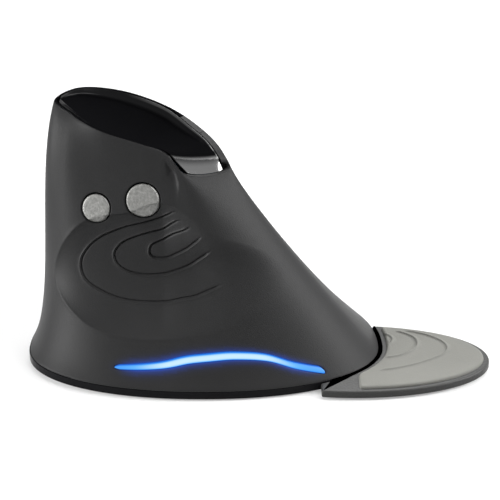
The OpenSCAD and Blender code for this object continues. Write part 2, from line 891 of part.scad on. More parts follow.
module click_board() {
    rear = click_board_x[0];
    front = click_board_x[1];
    cut_y = cradle_y + 0.4;
    color(board_green)
    placed()
    finger_frame()
    difference() {
        translate([0, 0, click_board_z - board_t])
            linear_extrude(board_t)
                polygon([[rear, click_low], [front, click_low], [front, click_high],
                    [rear + click_corner.x, click_high], [rear, click_high - click_corner.y]]);
        translate([-slot_x, -cut_y, click_board_z - 2 * board_t])
            cube([2 * slot_x, 2 * cut_y, 4 * board_t]);
        for (p = concat(click_strip_posts, click_shell_posts))
            translate([p.x, p.y, click_board_z - 2 * board_t])
                cylinder(d = board_hole, h = 4 * board_t);
    }
}

module click_board_screws() {
    color(metal)
    placed()
    finger_frame()
        for (p = concat(click_strip_posts, click_shell_posts))
            translate([p.x, p.y, click_board_z - board_t])
                rotate([180, 0, 0])
                    small_screw(post_bore - 0.1, board_t + screw_grip, board_head_d, board_head_t);
}

module index_switch() {
    color(switch_black)
    on_click_board(contact_x, contact_y)
        translate([0, 0, case_size.z])
            click_case();
}

module index_plunger() {
    color(plunger_red)
    on_click_board(contact_x, contact_y)
        translate([0, 0, case_size.z])
            click_plunger();
}

module middle_switch() {
    color(switch_black)
    on_click_board(contact_x, -contact_y)
        translate([0, 0, case_size.z])
            click_case();
}

module middle_plunger() {
    color(plunger_red)
    on_click_board(contact_x, -contact_y)
        translate([0, 0, case_size.z])
            click_plunger();
}

module wheel_emitter() {
    color(switch_black)
    on_click_board(emitter_x, emitter_y)
        centred_box(emitter_size, 0);
}

module wheel_detector() {
    color(switch_black)
    on_click_board(emitter_x, -emitter_y)
        centred_box(emitter_size, 0);
}

// The battery bay: inside faces of its walls
bay_x = [cell_centre.x - cell_l / 2 - contact_room,
    cell_centre.x + cell_l / 2 + cell_nub[1] + contact_room];
bay_y = [cell_centre.y - cell_d / 2 - cell_gap,
    cell_centre.y + cell_d / 2 + cell_gap + partition_t + receiver_t + 2 * receiver_gap];
bay_size = [bay_x[1] - bay_x[0], bay_y[1] - bay_y[0]];
partition_y = cell_centre.y + cell_d / 2 + cell_gap;
door_size = [bay_size.x + 2 * door_over, bay_size.y + 2 * door_over];
door_corner = [bay_x[0] - door_over, bay_y[0] - door_over];
board_corners = [for (x = [board_corner, main_board_size.x - board_corner])
    for (y = [board_corner, main_board_size.y - board_corner]) main_board_at + [x, y]];

module base_plate() {
    low_wall = 5;
    end_wall = cell_d * 0.75;
    pocket_t = door_t + door_lift + door_gap;
    tongue_pocket = rest_bottom - ground_gap + 1 + tongue_t + tongue_gap;
    color(gloss_black)
    placed()
    difference() {
        union() {
            translate([0, 0, ground_gap])
                linear_extrude(base_thickness)
                    polygon(oval_outline(0));
            for (p = board_corners)
                translate([p.x, p.y, base_top - tiny])
                    cylinder(d = board_post_d, h = board_z - base_top + tiny);
            for (x = [bay_x[0] - bay_wall, bay_x[1]]) {
                translate([x, bay_y[0] - bay_wall, base_top - tiny])
                    cube([bay_wall, bay_size.y + 2 * bay_wall, low_wall]);
                translate([x, bay_y[0] - bay_wall, base_top - tiny])
                    cube([bay_wall, partition_y + partition_t - bay_y[0] + bay_wall, end_wall]);
            }
            for (y = [bay_y[0] - bay_wall, bay_y[1]])
                translate([bay_x[0] - bay_wall, y, base_top - tiny])
                    cube([bay_size.x + 2 * bay_wall, bay_wall, low_wall]);
            translate([bay_x[0] - bay_wall, partition_y, base_top - tiny])
                cube([bay_size.x + 2 * bay_wall, partition_t, end_wall]);
        }
        translate([bay_x[0], bay_y[0], ground_gap - 1])
            cube([bay_size.x, partition_y - bay_y[0], base_thickness + 1.5]);
        translate([bay_x[0], partition_y + partition_t, ground_gap - 1])
            cube([bay_size.x, bay_y[1] - partition_y - partition_t, base_thickness + 1.5]);
        translate([door_corner.x - door_gap - door_travel, door_corner.y - door_gap, ground_gap - 1])
            cube([door_size.x + 2 * door_gap + door_travel, door_size.y + 2 * door_gap, pocket_t + 1]);
        translate([sensor_at.x, sensor_at.y, ground_gap - 1])
            cylinder(d = aperture_d, h = base_thickness + 2);
        translate([slider_at.x - slider_size.x / 2 - slider_gap, slider_at.y - slider_size.y / 2 - slider_gap,
                ground_gap - 1])
            cube([slider_size.x + slider_travel + 2 * slider_gap, slider_size.y + 2 * slider_gap,
                base_thickness + 2]);
        for (f = FEET)
            translate([f[0], f[1], ground_gap - 1])
                rotate([0, 0, f[3]])
                    pill(f[2] + 0.4, foot_w + 0.4, 1 + foot_recess);
        for (s = casing_posts)
            translate([post_at(s).x, post_at(s).y, ground_gap - 1]) {
                cylinder(d = screw_d + 0.6, h = base_thickness + 2);
                cylinder(d = screw_head_d + 0.4, h = 1 + screw_head_t + head_room);
            }
        for (p = board_corners)
            translate([p.x, p.y, board_z - post_bore_depth])
                cylinder(d = post_bore, h = post_bore_depth + 1);
        rotate([0, 0, rest_turn])
            translate([tongue_x[0] - tongue_gap, -tongue_half - tongue_gap, ground_gap - 1])
                cube([rest_reach, 2 * (tongue_half + tongue_gap), tongue_pocket]);
    }
}

module main_board() {
    color(board_green)
    placed()
    difference() {
        translate([main_board_at.x, main_board_at.y, board_z])
            cube([main_board_size.x, main_board_size.y, board_t]);
        for (p = board_corners)
            translate([p.x, p.y, board_z - 1])
                cylinder(d = board_hole, h = board_t + 2);
        translate([sensor_at.x, sensor_at.y, board_z - 1])
            cylinder(d = lens_d + 2 * lens_gap, h = board_t + 2);
    }
}

module main_board_screws() {
    color(metal)
    placed()
        for (p = board_corners)
            translate([p.x, p.y, board_z + board_t])
                small_screw(post_bore - 0.1, board_t + screw_grip, board_head_d, board_head_t);
}

module sensor_chip() {
    color(switch_black)
    placed()
        translate([sensor_at.x, sensor_at.y, board_z + board_t])
            centred_box(sensor_size, 0);
}

module sensor_lens() {
    color("lightcyan")
    placed()
        translate([sensor_at.x, sensor_at.y, 0]) {
            centred_box(lens_size, base_top);
            translate([0, 0, base_top])
                cylinder(d = lens_d, h = board_z + 0.6 - base_top);
            translate([0, 0, ground_gap + 0.8])
                cylinder(d = lens_d, h = base_top - ground_gap);
        }
}

module battery_cell() {
    color("steelblue")
    placed()
        translate([cell_centre.x - cell_l / 2, cell_centre.y, cell_z])
            rotate([0, 90, 0]) {
                cylinder(d = cell_d, h = cell_l);
                cylinder(d = cell_nub[0], h = cell_l + cell_nub[1]);
            }
}

module battery_contacts() {
    plate = [contact_plate, 9, 9];
    reach = contact_room - contact_plate - 0.2;
    color(metal)
    placed() {
        translate([bay_x[0], cell_centre.y - plate.y / 2, cell_z - plate.z / 2])
            cube(plate);
        translate([bay_x[0], cell_centre.y, cell_z])
            rotate([0, 90, 0])
                cylinder(d1 = 7, d2 = 5, h = contact_plate + reach);
        translate([bay_x[1] - contact_plate, cell_centre.y - plate.y / 2, cell_z - plate.z / 2])
            cube(plate);
        translate([bay_x[1] - contact_plate - reach, cell_centre.y, cell_z])
            rotate([0, 90, 0])
                cylinder(d = 4, h = contact_plate + reach);
    }
}

module battery_door() {
    ridge_count = 5;
    color(gloss_black)
    placed()
    difference() {
        translate([door_corner.x, door_corner.y, ground_gap + door_lift])
            cube([door_size.x, door_size.y, door_t]);
        for (k = [0 : ridge_count - 1])
            translate([door_corner.x + 4 + 2 * k, door_corner.y + door_size.y / 2 - 6, ground_gap - 0.3])
                cube([0.8, 12, 0.8]);
    }
}

receiver_y = partition_y + partition_t + receiver_gap + receiver_t / 2;

module receiver_cap() {
    color(switch_black)
    placed()
        translate([receiver_x, receiver_y - receiver_t / 2, receiver_bottom])
            cube(receiver_cap_size);
}

module receiver_plug() {
    shell_t = 0.5;
    lift = (receiver_cap_size.z - receiver_plug_size.z) / 2;
    color(metal)
    placed()
        translate([receiver_x + receiver_cap_size.x, receiver_y - receiver_plug_size.y / 2,
            receiver_bottom + lift])
        difference() {
            cube(receiver_plug_size);
            translate([shell_t * 4, shell_t, shell_t])
                cube([receiver_plug_size.x, receiver_plug_size.y * 0.45, receiver_plug_size.z - 2 * shell_t]);
        }
}

slider_floor = base_top + 0.12;
slider_low = ground_gap + 0.2;
slider_post = [2, 1.4];

module power_slider() {
    color(satin_silver)
    placed()
        translate([slider_at.x, slider_at.y, 0]) {
            centred_box([slider_size.x, slider_size.y, slider_floor - slider_low + tiny], slider_low);
            centred_box(slider_flange, slider_floor);
            centred_box([slider_post.x, slider_post.y, 1.8], slider_floor + slider_flange.z - tiny);
        }
}

module power_switch() {
    size = [10, 4, board_z - slider_floor - slider_flange.z - 0.4];
    bottom = board_z - size.z;
    color(metal)
    placed()
    difference() {
        translate([slider_at.x + slider_travel / 2, slider_at.y, 0])
            centred_box(size, bottom);
        translate([slider_at.x - slider_post.x / 2 - 0.3, slider_at.y - slider_post.y / 2 - 0.3, bottom - 1])
            cube([slider_post.x + slider_travel + 0.6, slider_post.y + 0.6, 3.2]);
    }
}

module glide_feet() {
    color("gainsboro")
    placed()
        for (f = FEET)
            translate([f[0], f[1], 0])
                rotate([0, 0, f[3]])
                    pill(f[2], foot_w, ground_gap + foot_recess);
}

module casing_screws() {
    color(metal)
    placed()
        for (s = casing_posts)
            translate([post_at(s).x, post_at(s).y, ground_gap + screw_head_t + head_room])
                rotate([180, 0, 0])
                    small_screw(screw_d, base_thickness + 6, screw_head_d, screw_head_t);
}

// Palm rest
function rest_oval(inset) = [for (k = [0 : 71]) rest_centre
    + [(rest_half_l - inset) * cos(5 * k), (rest_half_w - inset) * sin(5 * k)]];

module rest_plan(inset, out, from_x) {
    difference() {
        polygon(rest_oval(inset));
        polygon(oval_outline(out));
        translate([from_x - 2 * rest_reach, -rest_reach])
            square(2 * rest_reach);
    }
}

module rest_base() {
    color(charcoal)
    placed() {
        translate([0, 0, rest_bottom])
            linear_extrude(rest_t)
                rest_plan(0, rest_gap, rest_cut_x);
        rotate([0, 0, rest_turn])
            translate([tongue_x[0], -tongue_half, rest_bottom])
                cube([tongue_x[1] - tongue_x[0] + 2, 2 * tongue_half, tongue_t]);
    }
}

module rest_pad() {
    color(pad_grey)
    placed()
        translate([0, 0, rest_bottom + rest_t])
            linear_extrude(pad_t)
                rest_plan(pad_edge, pad_lip, pad_start_x);
}

module rest_feet() {
    color(switch_black)
    placed()
        for (p = REST_FEET)
            translate([p.x, p.y, 0])
                cylinder(d = rest_foot_d, h = rest_bottom);
}

base_plate();
thumb_shell();
finger_shell();
top_cover();
centre_strip();
index_key();
middle_key();
light_guide();
light_flex();
light_chips();
forward_button();
back_button();
thumb_board();
thumb_board_screws();
forward_switch();
forward_plunger();
back_switch();
back_plunger();
wheel_hub();
wheel_tyre();
wheel_axle();
wheel_cradle();
wheel_switch();
wheel_plunger();
dpi_button();
dpi_switch();
dpi_plunger();
click_board();
click_board_screws();
index_switch();
index_plunger();
middle_switch();
middle_plunger();
wheel_emitter();
wheel_detector();
main_board();
main_board_screws();
sensor_chip();
sensor_lens();
battery_cell();
battery_contacts();
battery_door();
receiver_cap();
receiver_plug();
power_slider();
power_switch();
glide_feet();
casing_screws();
rest_base();
rest_pad();
rest_feet();
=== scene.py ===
"""Looks of an upright ergonomic mouse with a docked palm rest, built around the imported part.

The surface functions work in millimetres in the casing's own frame, as the part's source does.
to_part() turns such points into metres in the part's frame.
"""

import math

import bpy
import numpy as np
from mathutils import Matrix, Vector, kdtree
from mathutils.geometry import delaunay_2d_cdt


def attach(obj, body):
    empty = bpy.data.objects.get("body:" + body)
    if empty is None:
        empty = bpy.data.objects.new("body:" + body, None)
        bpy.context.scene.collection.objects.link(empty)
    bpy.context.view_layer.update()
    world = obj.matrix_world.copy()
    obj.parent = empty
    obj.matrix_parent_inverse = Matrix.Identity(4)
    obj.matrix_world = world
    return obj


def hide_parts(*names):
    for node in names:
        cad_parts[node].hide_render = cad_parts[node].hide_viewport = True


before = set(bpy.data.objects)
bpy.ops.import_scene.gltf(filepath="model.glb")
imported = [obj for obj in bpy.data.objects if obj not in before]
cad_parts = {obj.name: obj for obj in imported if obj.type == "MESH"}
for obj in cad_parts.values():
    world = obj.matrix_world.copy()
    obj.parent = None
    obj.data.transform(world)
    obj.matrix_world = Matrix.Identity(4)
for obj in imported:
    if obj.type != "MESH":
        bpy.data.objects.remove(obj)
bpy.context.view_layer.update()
scene = bpy.context.scene

# Sizes of the part, in millimetres
ORIGIN = np.array([16.0, 8.75, 0.0])
BASE_LENGTH, BASE_NEAR, BASE_FAR = 104.0, 28.5, 46.0
BODY_HEIGHT = 74.5
BASE_TOP = 2.6
WALL = 2.0
OVAL_POWER = 2.15
LIP, COVER_GAP, COVER_THICKNESS, REBATE = 0.8, 0.25, 1.5, 1.9
COVER_BEVEL, COVER_FRONT, COVER_END, COVER_END_ROWS = 0.8, 0.05, 0.84, 7
DISH_DEPTH, DISH_FULL, DISH_FADE, DISH_END = 4.2, 0.4, 0.45, 0.84
# Clear-coat weights that paint highlights on the cover's near band, far edge line and near inner edge line
BAND_COAT, FAR_COAT, NEAR_COAT = 0.04, 0.4, 0.3
FOOT_ANGLE = np.array([180, 207, 232, 258, 272, 302, 354, 388, 420, 450, 482, 512], float)
RIM = np.array([
    [-43.5, 19, 0.5], [-38.5, 12.5, 2.5], [-29.5, 5.5, 5], [-18, 3, 8],
    [-11, 2.5, 10.5], [-4, 0, 16.5], [7, 6, 17.5], [6, 9.5, 13.5],
    [0.5, 16.5, 9.5], [-10, 24.5, 5], [-23.5, 30, 2], [-36.5, 28, 0]])
LEAN = np.array([
    [0.88, 0.09, 0.34, 0.75], [0.72, 0.26, 0.57, 0.83], [0.38, 0.16, 0.88, 0.75],
    [0.36, 0.16, 0.88, 0.78], [0.34, 0.18, 0.85, 0.85], [0.34, 0.24, 0.78, 0.88],
    [0.38, 0.33, 0.78, 0.76], [0.46, 0.33, 0.92, 0.70], [0.34, 0.33, 0.90, 0.86],
    [0.16, 0.34, 0.90, 0.93], [0.16, 0.34, 0.92, 0.90], [0.30, 0.25, 0.92, 0.85]])
STATIONS = len(RIM)
DRAW_TILT = math.radians(25)
SCOOP_DEPTH = 4.6
SCOOP_CENTRE = np.array([-12.0, 24.0])
SCOOP_REACH = np.array([36, 21, 18.5, 20.6, 20.5, 28, 31.3, 26.5, 20.6, 18.4, 20.4, 27.5])
SCOOP_FIRST, SCOOP_LAST = 0.2, 5.8
SCOOP_LIP, SCOOP_LIP_ANGLE = 0.12, 215.0
FRONT_SEAM, REAR_SEAM, SEAM_GAP = 11.75, 8.0, 0.008
KEY_REAR, KEY_FRONT = 8.9, 11.1
MIDDLE_LOW, STRIP_LOW, STRIP_HIGH, INDEX_HIGH = 0.37, 0.60, 0.725, 0.942
KEY_GAP, KEY_FRONT_GAP = 0.6, 0.9
WHEEL_S, WHEEL_V = 10.0, (0.60 + 0.725) / 2
WHEEL_R, WHEEL_W, WHEEL_PROUD, TYRE_T = 9.5, 5.0, 3.5, 1.8
SLOT_X, SLOT_SIDE = WHEEL_R + 0.7, 0.6
DPI_X, DPI_D, DPI_PROUD = -13.5, 4.8, 0.8
BUTTON_GAP = 0.35
FORWARD_AT, FORWARD_D = (1.953, 0.676), 8.2
BACK_AT, BACK_D = (2.977, 0.757), 9.6
WAVE = np.array([[2.384, 0.071], [2.814, 0.084], [3.418, 0.107], [4.043, 0.132], [4.466, 0.147],
                 [4.811, 0.137], [5.05, 0.089], [5.257, 0.046]])
STRIP_W, STRIP_GAP, GUIDE_DEPTH, STRIP_RISE = 2.2, 0.12, 3.2, 0.82
REST_REACH, REST_HALF_L, REST_HALF_W = 84.0, 40.0, 21.0
REST_CENTRE = np.array([REST_REACH - REST_HALF_L, -7.3])
REST_BOTTOM, REST_T, PAD_T = 0.6, 2.2, 1.2
REST_GAP, REST_CUT_X = 0.4, 34.0
PAD_EDGE, PAD_LIP, PAD_START_X = 1.6, 2.2, 45.0
REST_TURN, TONGUE_X, TONGUE_HALF, TONGUE_T = math.radians(-14), (39.0, 54.0), 9.5, 0.95


def to_part(points):
    return (np.asarray(points, float) - ORIGIN) / 1000.0


def unit(a):
    return a / np.linalg.norm(a, axis=-1, keepdims=True)


def smooth(low, high, x):
    t = np.clip((x - low) / (high - low), 0, 1)
    return t * t * (3 - 2 * t)


def run_along(points):
    """How far along a polyline each of its points is."""
    return np.concatenate([[0], np.cumsum(np.linalg.norm(np.diff(points, axis=0), axis=1))])


def spline(a, b, c, d, f):
    return (2 * b + (c - a) * f + (2 * a - 5 * b + 4 * c - d) * f ** 2
            + (3 * b - a - 3 * c + d) * f ** 3) / 2


def curve(points, count):
    """Points along a smooth open curve through the given ones."""
    points = np.asarray(points, float)
    n = len(points) - 1
    u = np.linspace(0, n, count)
    k = np.minimum(np.floor(u).astype(int), n - 1)
    f = (u - k)[:, None]
    return spline(points[np.maximum(k - 1, 0)], points[k], points[k + 1], points[np.minimum(k + 2, n)], f)


# The surface of the casing over a station s and a height share v
TABLE = np.column_stack([FOOT_ANGLE, RIM[:, 0], RIM[:, 1], BODY_HEIGHT - RIM[:, 2], LEAN])


def row(k):
    r = TABLE[k % STATIONS].copy()
    r[..., 0] += 360.0 * (k // STATIONS)
    return r


def station(s):
    i = np.floor(s).astype(int)
    return spline(row(i - 1), row(i), row(i + 1), row(i + 2), (s - i)[..., None])


def oval(angle):
    r = np.radians(angle)
    e = 2 / OVAL_POWER
    c, q = np.cos(r), np.sin(r)
    reach = np.where(q < 0, BASE_NEAR, BASE_FAR)
    return np.stack([BASE_LENGTH / 2 * np.sign(c) * np.abs(c) ** e, reach * np.sign(q) * np.abs(q) ** e], -1)


def oval_out(angle, out):
    along = unit(oval(angle + 0.5) - oval(angle - 0.5))
    return oval(angle) + out * np.stack([along[..., 1], -along[..., 0]], -1)


def rise(a, b, t):
    return 3 * a * t * (1 - t) ** 2 + 3 * b * t * t * (1 - t) + t ** 3


def outer(s, v):
    s, v = np.broadcast_arrays(np.asarray(s, float), np.asarray(v, float))
    r = station(s)
    a, b = r[..., 5], r[..., 7]
    t = v.copy()
    for _ in range(8):
        rate = 3 * a * (1 - t) * (1 - 3 * t) + 3 * b * t * (2 - 3 * t) + 3 * t * t
        t = np.clip(t - (rise(a, b, t) - v) / rate, 0, 1)
    u = rise(r[..., 4], r[..., 6], t)
    f = oval(r[..., 0])
    return np.stack([f[..., 0] + (r[..., 1] - f[..., 0]) * u, f[..., 1] + (r[..., 2] - f[..., 1]) * u,
                     BASE_TOP + (r[..., 3] - BASE_TOP) * v], -1)


def facing(s, v):
    h = 0.002
    s, v = np.broadcast_arrays(np.asarray(s, float), np.asarray(v, float))
    up = outer(s, np.minimum(1, v + h)) - outer(s, np.maximum(0, v - h))
    return unit(np.cross(outer(s + h, v) - outer(s - h, v), up))


def scoop_reach(angle):
    k = angle / 30.0
    i = np.floor(k).astype(int)
    return spline(*(SCOOP_REACH[(i + j) % 12] for j in (-1, 0, 1, 2)), k - i)


def draw_plane(p):
    return np.stack([p[..., 0], p[..., 2] * math.cos(DRAW_TILT) + p[..., 1] * math.sin(DRAW_TILT)], -1)


def scoop_share(p):
    d = draw_plane(p) - SCOOP_CENTRE
    angle = np.degrees(np.arctan2(d[..., 1], d[..., 0])) % 360
    return np.linalg.norm(d, axis=-1) / scoop_reach(angle), angle


def dent(s, p):
    share, angle = scoop_share(p)
    power = 0.8 + 1.2 * np.maximum(0, np.cos(np.radians(angle)))
    depth = SCOOP_DEPTH * np.maximum(0, 1 - share ** 2) ** power
    out = (share - 1) * scoop_reach(angle)
    weight = smooth(0.2, 0.7, np.cos(np.radians(angle - SCOOP_LIP_ANGLE)))
    lip = SCOOP_LIP * weight * np.exp(-((out - 0.3) / 0.25) ** 2)
    return np.where((s > SCOOP_FIRST) & (s < SCOOP_LAST), np.where(share < 1, depth, -lip), 0)


def skin(s, v, depth):
    s, v = np.broadcast_arrays(np.asarray(s, float), np.asarray(v, float))
    p, n = outer(s, v), facing(s, v)
    flat = n[..., 0] ** 2 + n[..., 1] ** 2
    inward = -np.stack([n[..., 0], n[..., 1], 0 * flat], -1) / flat[..., None]
    return p + inward * (depth + dent(s, p))[..., None]


def wall_height(s):
    return station(np.asarray(s, float))[..., 3] - BASE_TOP


def axes_from(out, along):
    x = unit(along - out * np.dot(along, out))
    return np.array([x, np.cross(out, x), out])


def in_frame(p, at, axes):
    return (p - at) @ axes.T


def from_frame(p, at, axes):
    return at + p @ axes


def seek(want, at, guess):
    """Solves at(s, v) = want in two dimensions, for arrays of points, from the guesses given."""
    q = np.array(guess, float)
    h = 1e-4
    for _ in range(25):
        now = at(q[:, 0], q[:, 1])
        js = (at(q[:, 0] + h, q[:, 1]) - now) / h
        jv = (at(q[:, 0], q[:, 1] + h) - now) / h
        det = js[:, 0] * jv[:, 1] - js[:, 1] * jv[:, 0]
        gap = want - now
        ds = (gap[:, 0] * jv[:, 1] - gap[:, 1] * jv[:, 0]) / det
        dv = (js[:, 0] * gap[:, 1] - js[:, 1] * gap[:, 0]) / det
        q[:, 0] += np.clip(ds, -0.1, 0.1)
        q[:, 1] = np.clip(q[:, 1] + np.clip(dv, -0.05, 0.05), 0.0, 0.999)
    return q


FINGER_AT = outer(WHEEL_S, WHEEL_V)
FINGER_AXES = axes_from(facing(WHEEL_S, WHEEL_V),
                        outer(WHEEL_S + 0.01, WHEEL_V) - outer(WHEEL_S - 0.01, WHEEL_V))
FINGER_SPAN = float(np.linalg.norm(outer(WHEEL_S, WHEEL_V) - outer(WHEEL_S - 1, WHEEL_V)))
FORWARD_POINT, BACK_POINT = outer(*FORWARD_AT), outer(*BACK_AT)
THUMB_AT = (FORWARD_POINT + BACK_POINT) / 2
THUMB_AXES = axes_from(unit(facing(*FORWARD_AT) + facing(*BACK_AT)), FORWARD_POINT - BACK_POINT)
FORWARD_LOCAL = in_frame(FORWARD_POINT, THUMB_AT, THUMB_AXES)
BACK_LOCAL = in_frame(BACK_POINT, THUMB_AT, THUMB_AXES)


def thumb_xy(s, v):
    return in_frame(skin(s, v, 0.0), THUMB_AT, THUMB_AXES)[:, :2]


def finger_xy(s, v):
    return in_frame(skin(s, v, 0.0), FINGER_AT, FINGER_AXES)[:, :2]


def ring(centre, radius, count):
    t = np.linspace(0, 2 * math.pi, count, endpoint=False)
    return np.stack([centre[0] + radius * np.cos(t), centre[1] + radius * np.sin(t)], -1)


# Meshes
def add_piece(name, points, faces, material, body, nodes=(), marks=None, sharp=None, trim=None):
    """A mesh piece from points in millimetres.

    marks are named numbers on its points. trim is a second material and the points whose faces take it.
    """
    mesh = bpy.data.meshes.new(name)
    mesh.from_pydata([tuple(p) for p in to_part(points)], [], [tuple(int(i) for i in f) for f in faces])
    mesh.update()
    mesh.polygons.foreach_set("use_smooth", [True] * len(mesh.polygons))
    if sharp is not None:
        mesh.set_sharp_from_angle(angle=math.radians(sharp))
    for label, values in (marks or {}).items():
        mesh.attributes.new(label, "FLOAT", "POINT").data.foreach_set("value", np.asarray(values, np.float32))
    mesh.materials.append(material)
    if trim:
        mesh.materials.append(trim[0])
        mesh.polygons.foreach_set("material_index", [int(trim[1][list(f)].all()) for f in faces])
    obj = bpy.data.objects.new(name, mesh)
    scene.collection.objects.link(obj)
    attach(obj, body)
    if nodes:
        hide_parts(*nodes)
    return obj


def inside(points, loop):
    """Which points lie inside a closed loop."""
    x, y = points[:, 0], points[:, 1]
    result = np.zeros(len(points), bool)
    for (x0, y0), (x1, y1) in zip(loop, np.roll(loop, -1, 0)):
        if y0 != y1:
            cross = ((y0 > y) != (y1 > y)) & (x < (x1 - x0) * (y - y0) / (y1 - y0) + x0)
            result ^= cross
    return result


def line_distance(points, line):
    """Distance from each point to a polyline, which side it is on, and the place along it."""
    best = np.full(len(points), 1e9)
    side = np.zeros(len(points))
    place = np.zeros(len(points))
    run = 0.0
    for a, b in zip(line[:-1], line[1:]):
        d = b - a
        length = math.hypot(*d)
        t = np.clip(((points - a) @ d) / length ** 2, 0, 1)
        rel = points - a - t[:, None] * d
        dist = np.hypot(rel[:, 0], rel[:, 1])
        closer = dist < best
        best = np.where(closer, dist, best)
        turn = d[0] * (points[:, 1] - a[1]) - d[1] * (points[:, 0] - a[0])
        side = np.where(closer, np.sign(turn), side)
        place = np.where(closer, run + t * length, place)
        run += length
    return best, side, place, run


def offset_line(line, d):
    """A polyline moved to its left by d."""
    along = unit(np.gradient(line, axis=0))
    return line + d * np.stack([-along[:, 1], along[:, 0]], -1)


def box_points(x, y):
    """The points round a box, from those on its bottom and on one side."""
    across, up = np.ones(len(x) - 1), np.ones(len(y) - 1)
    return np.concatenate([np.stack([x[:-1], y[0] * across], -1), np.stack([x[-1] * up, y[:-1]], -1),
                           np.stack([x[:0:-1], y[-1] * across], -1), np.stack([x[0] * up, y[:0:-1]], -1)])


def even_loop(loop, count=0):
    """Evenly spaced points on a loop: as many as asked, or one for each LOOP_STEP."""
    closed = np.concatenate([loop, loop[:1]])
    run = np.concatenate([[0], np.cumsum(np.hypot(*np.diff(closed, axis=0).T))])
    at = np.linspace(0, run[-1], count or int(run[-1] / LOOP_STEP), endpoint=False)
    return np.stack([np.interp(at, run, closed[:, 0]), np.interp(at, run, closed[:, 1])], -1)


def compact(xy, faces):
    """Leaves out the points that no face uses."""
    used = np.unique(faces)
    renumber = np.full(len(xy), -1)
    renumber[used] = np.arange(len(used))
    return xy[used], renumber[faces]


def triangulate(loops, lines, loose, spacing, low, high):
    """Triangles over a box in the plane; loops and lines become edges, loose points are kept."""
    points, edges = [], []

    def put(chain, closed):
        first = len(points)
        points.extend(chain)
        n = len(chain)
        edges.extend((first + k, first + (k + 1) % n) for k in range(n if closed else n - 1))
    for loop in loops:
        put(list(loop), True)
    for line in lines:
        put(list(line), False)
    points.extend(loose)
    fixed = np.clip(np.array(points), low, high)
    tree = kdtree.KDTree(len(fixed))
    for k, p in enumerate(fixed):
        tree.insert((p[0], p[1], 0), k)
    tree.balance()
    step = spacing * math.sqrt(3) / 2
    rows = int((high[1] - low[1]) / step)
    free = []
    for j in range(1, rows):
        y = low[1] + (high[1] - low[1]) * j / rows
        shift = spacing / 2 if j % 2 else 0.0
        for x in np.arange(low[0] + spacing * 0.6 + shift, high[0] - spacing * 0.4, spacing):
            if tree.find((x, y, 0))[2] > spacing * 0.62:
                free.append((x, y))
    every = [Vector(p) for p in fixed] + [Vector(p) for p in free]
    verts, _, faces, *_ = delaunay_2d_cdt(every, edges, [], 0, 1e-5)
    return np.array([tuple(v) for v in verts]), np.array([tuple(f) for f in faces])


def edge_roll(distance, radius):
    """How far a rounded edge falls away, by the distance from the edge."""
    d = np.clip(distance, 0, radius)
    return radius - np.sqrt(np.maximum(0, radius ** 2 - (radius - d) ** 2))


EDGE_ROWS = (0.06, 0.18, 0.38, 0.65)
LOOP_STEP = 0.25


def closed_solid(front, back, faces, outward):
    """Points and faces of a solid between two sheets with the same triangles."""
    n = len(front)
    a, b, c = (front[faces[:, k]] for k in range(3))
    if np.sum(np.cross(b - a, c - a) * outward[faces[:, 0]]) < 0:
        faces = faces[:, ::-1]
    sides = dict.fromkeys((int(f[k]), int(f[(k + 1) % 3])) for f in faces for k in range(3))
    walls = [(j, i, i + n, j + n) for i, j in sides if (j, i) not in sides]
    shell = [tuple(f) for f in faces] + [tuple(f[::-1] + n) for f in faces] + walls
    return np.concatenate([front, back]), shell


def sheet_faces(grid):
    """Faces of a solid between two sheets of points, from the first sheet's grid of point numbers."""
    quads = np.stack([grid[:-1, :-1], grid[:-1, 1:], grid[1:, 1:], grid[1:, :-1]], -1).reshape(-1, 4)
    border = np.concatenate([grid[0, :-1], grid[:-1, -1], grid[-1, :0:-1], grid[:0:-1, 0]])
    total = grid.size
    faces = [tuple(f) for f in quads] + [tuple(f[::-1] + total) for f in quads]
    return faces + [(b, a, a + total, b + total) for a, b in zip(border, np.roll(border, -1))]


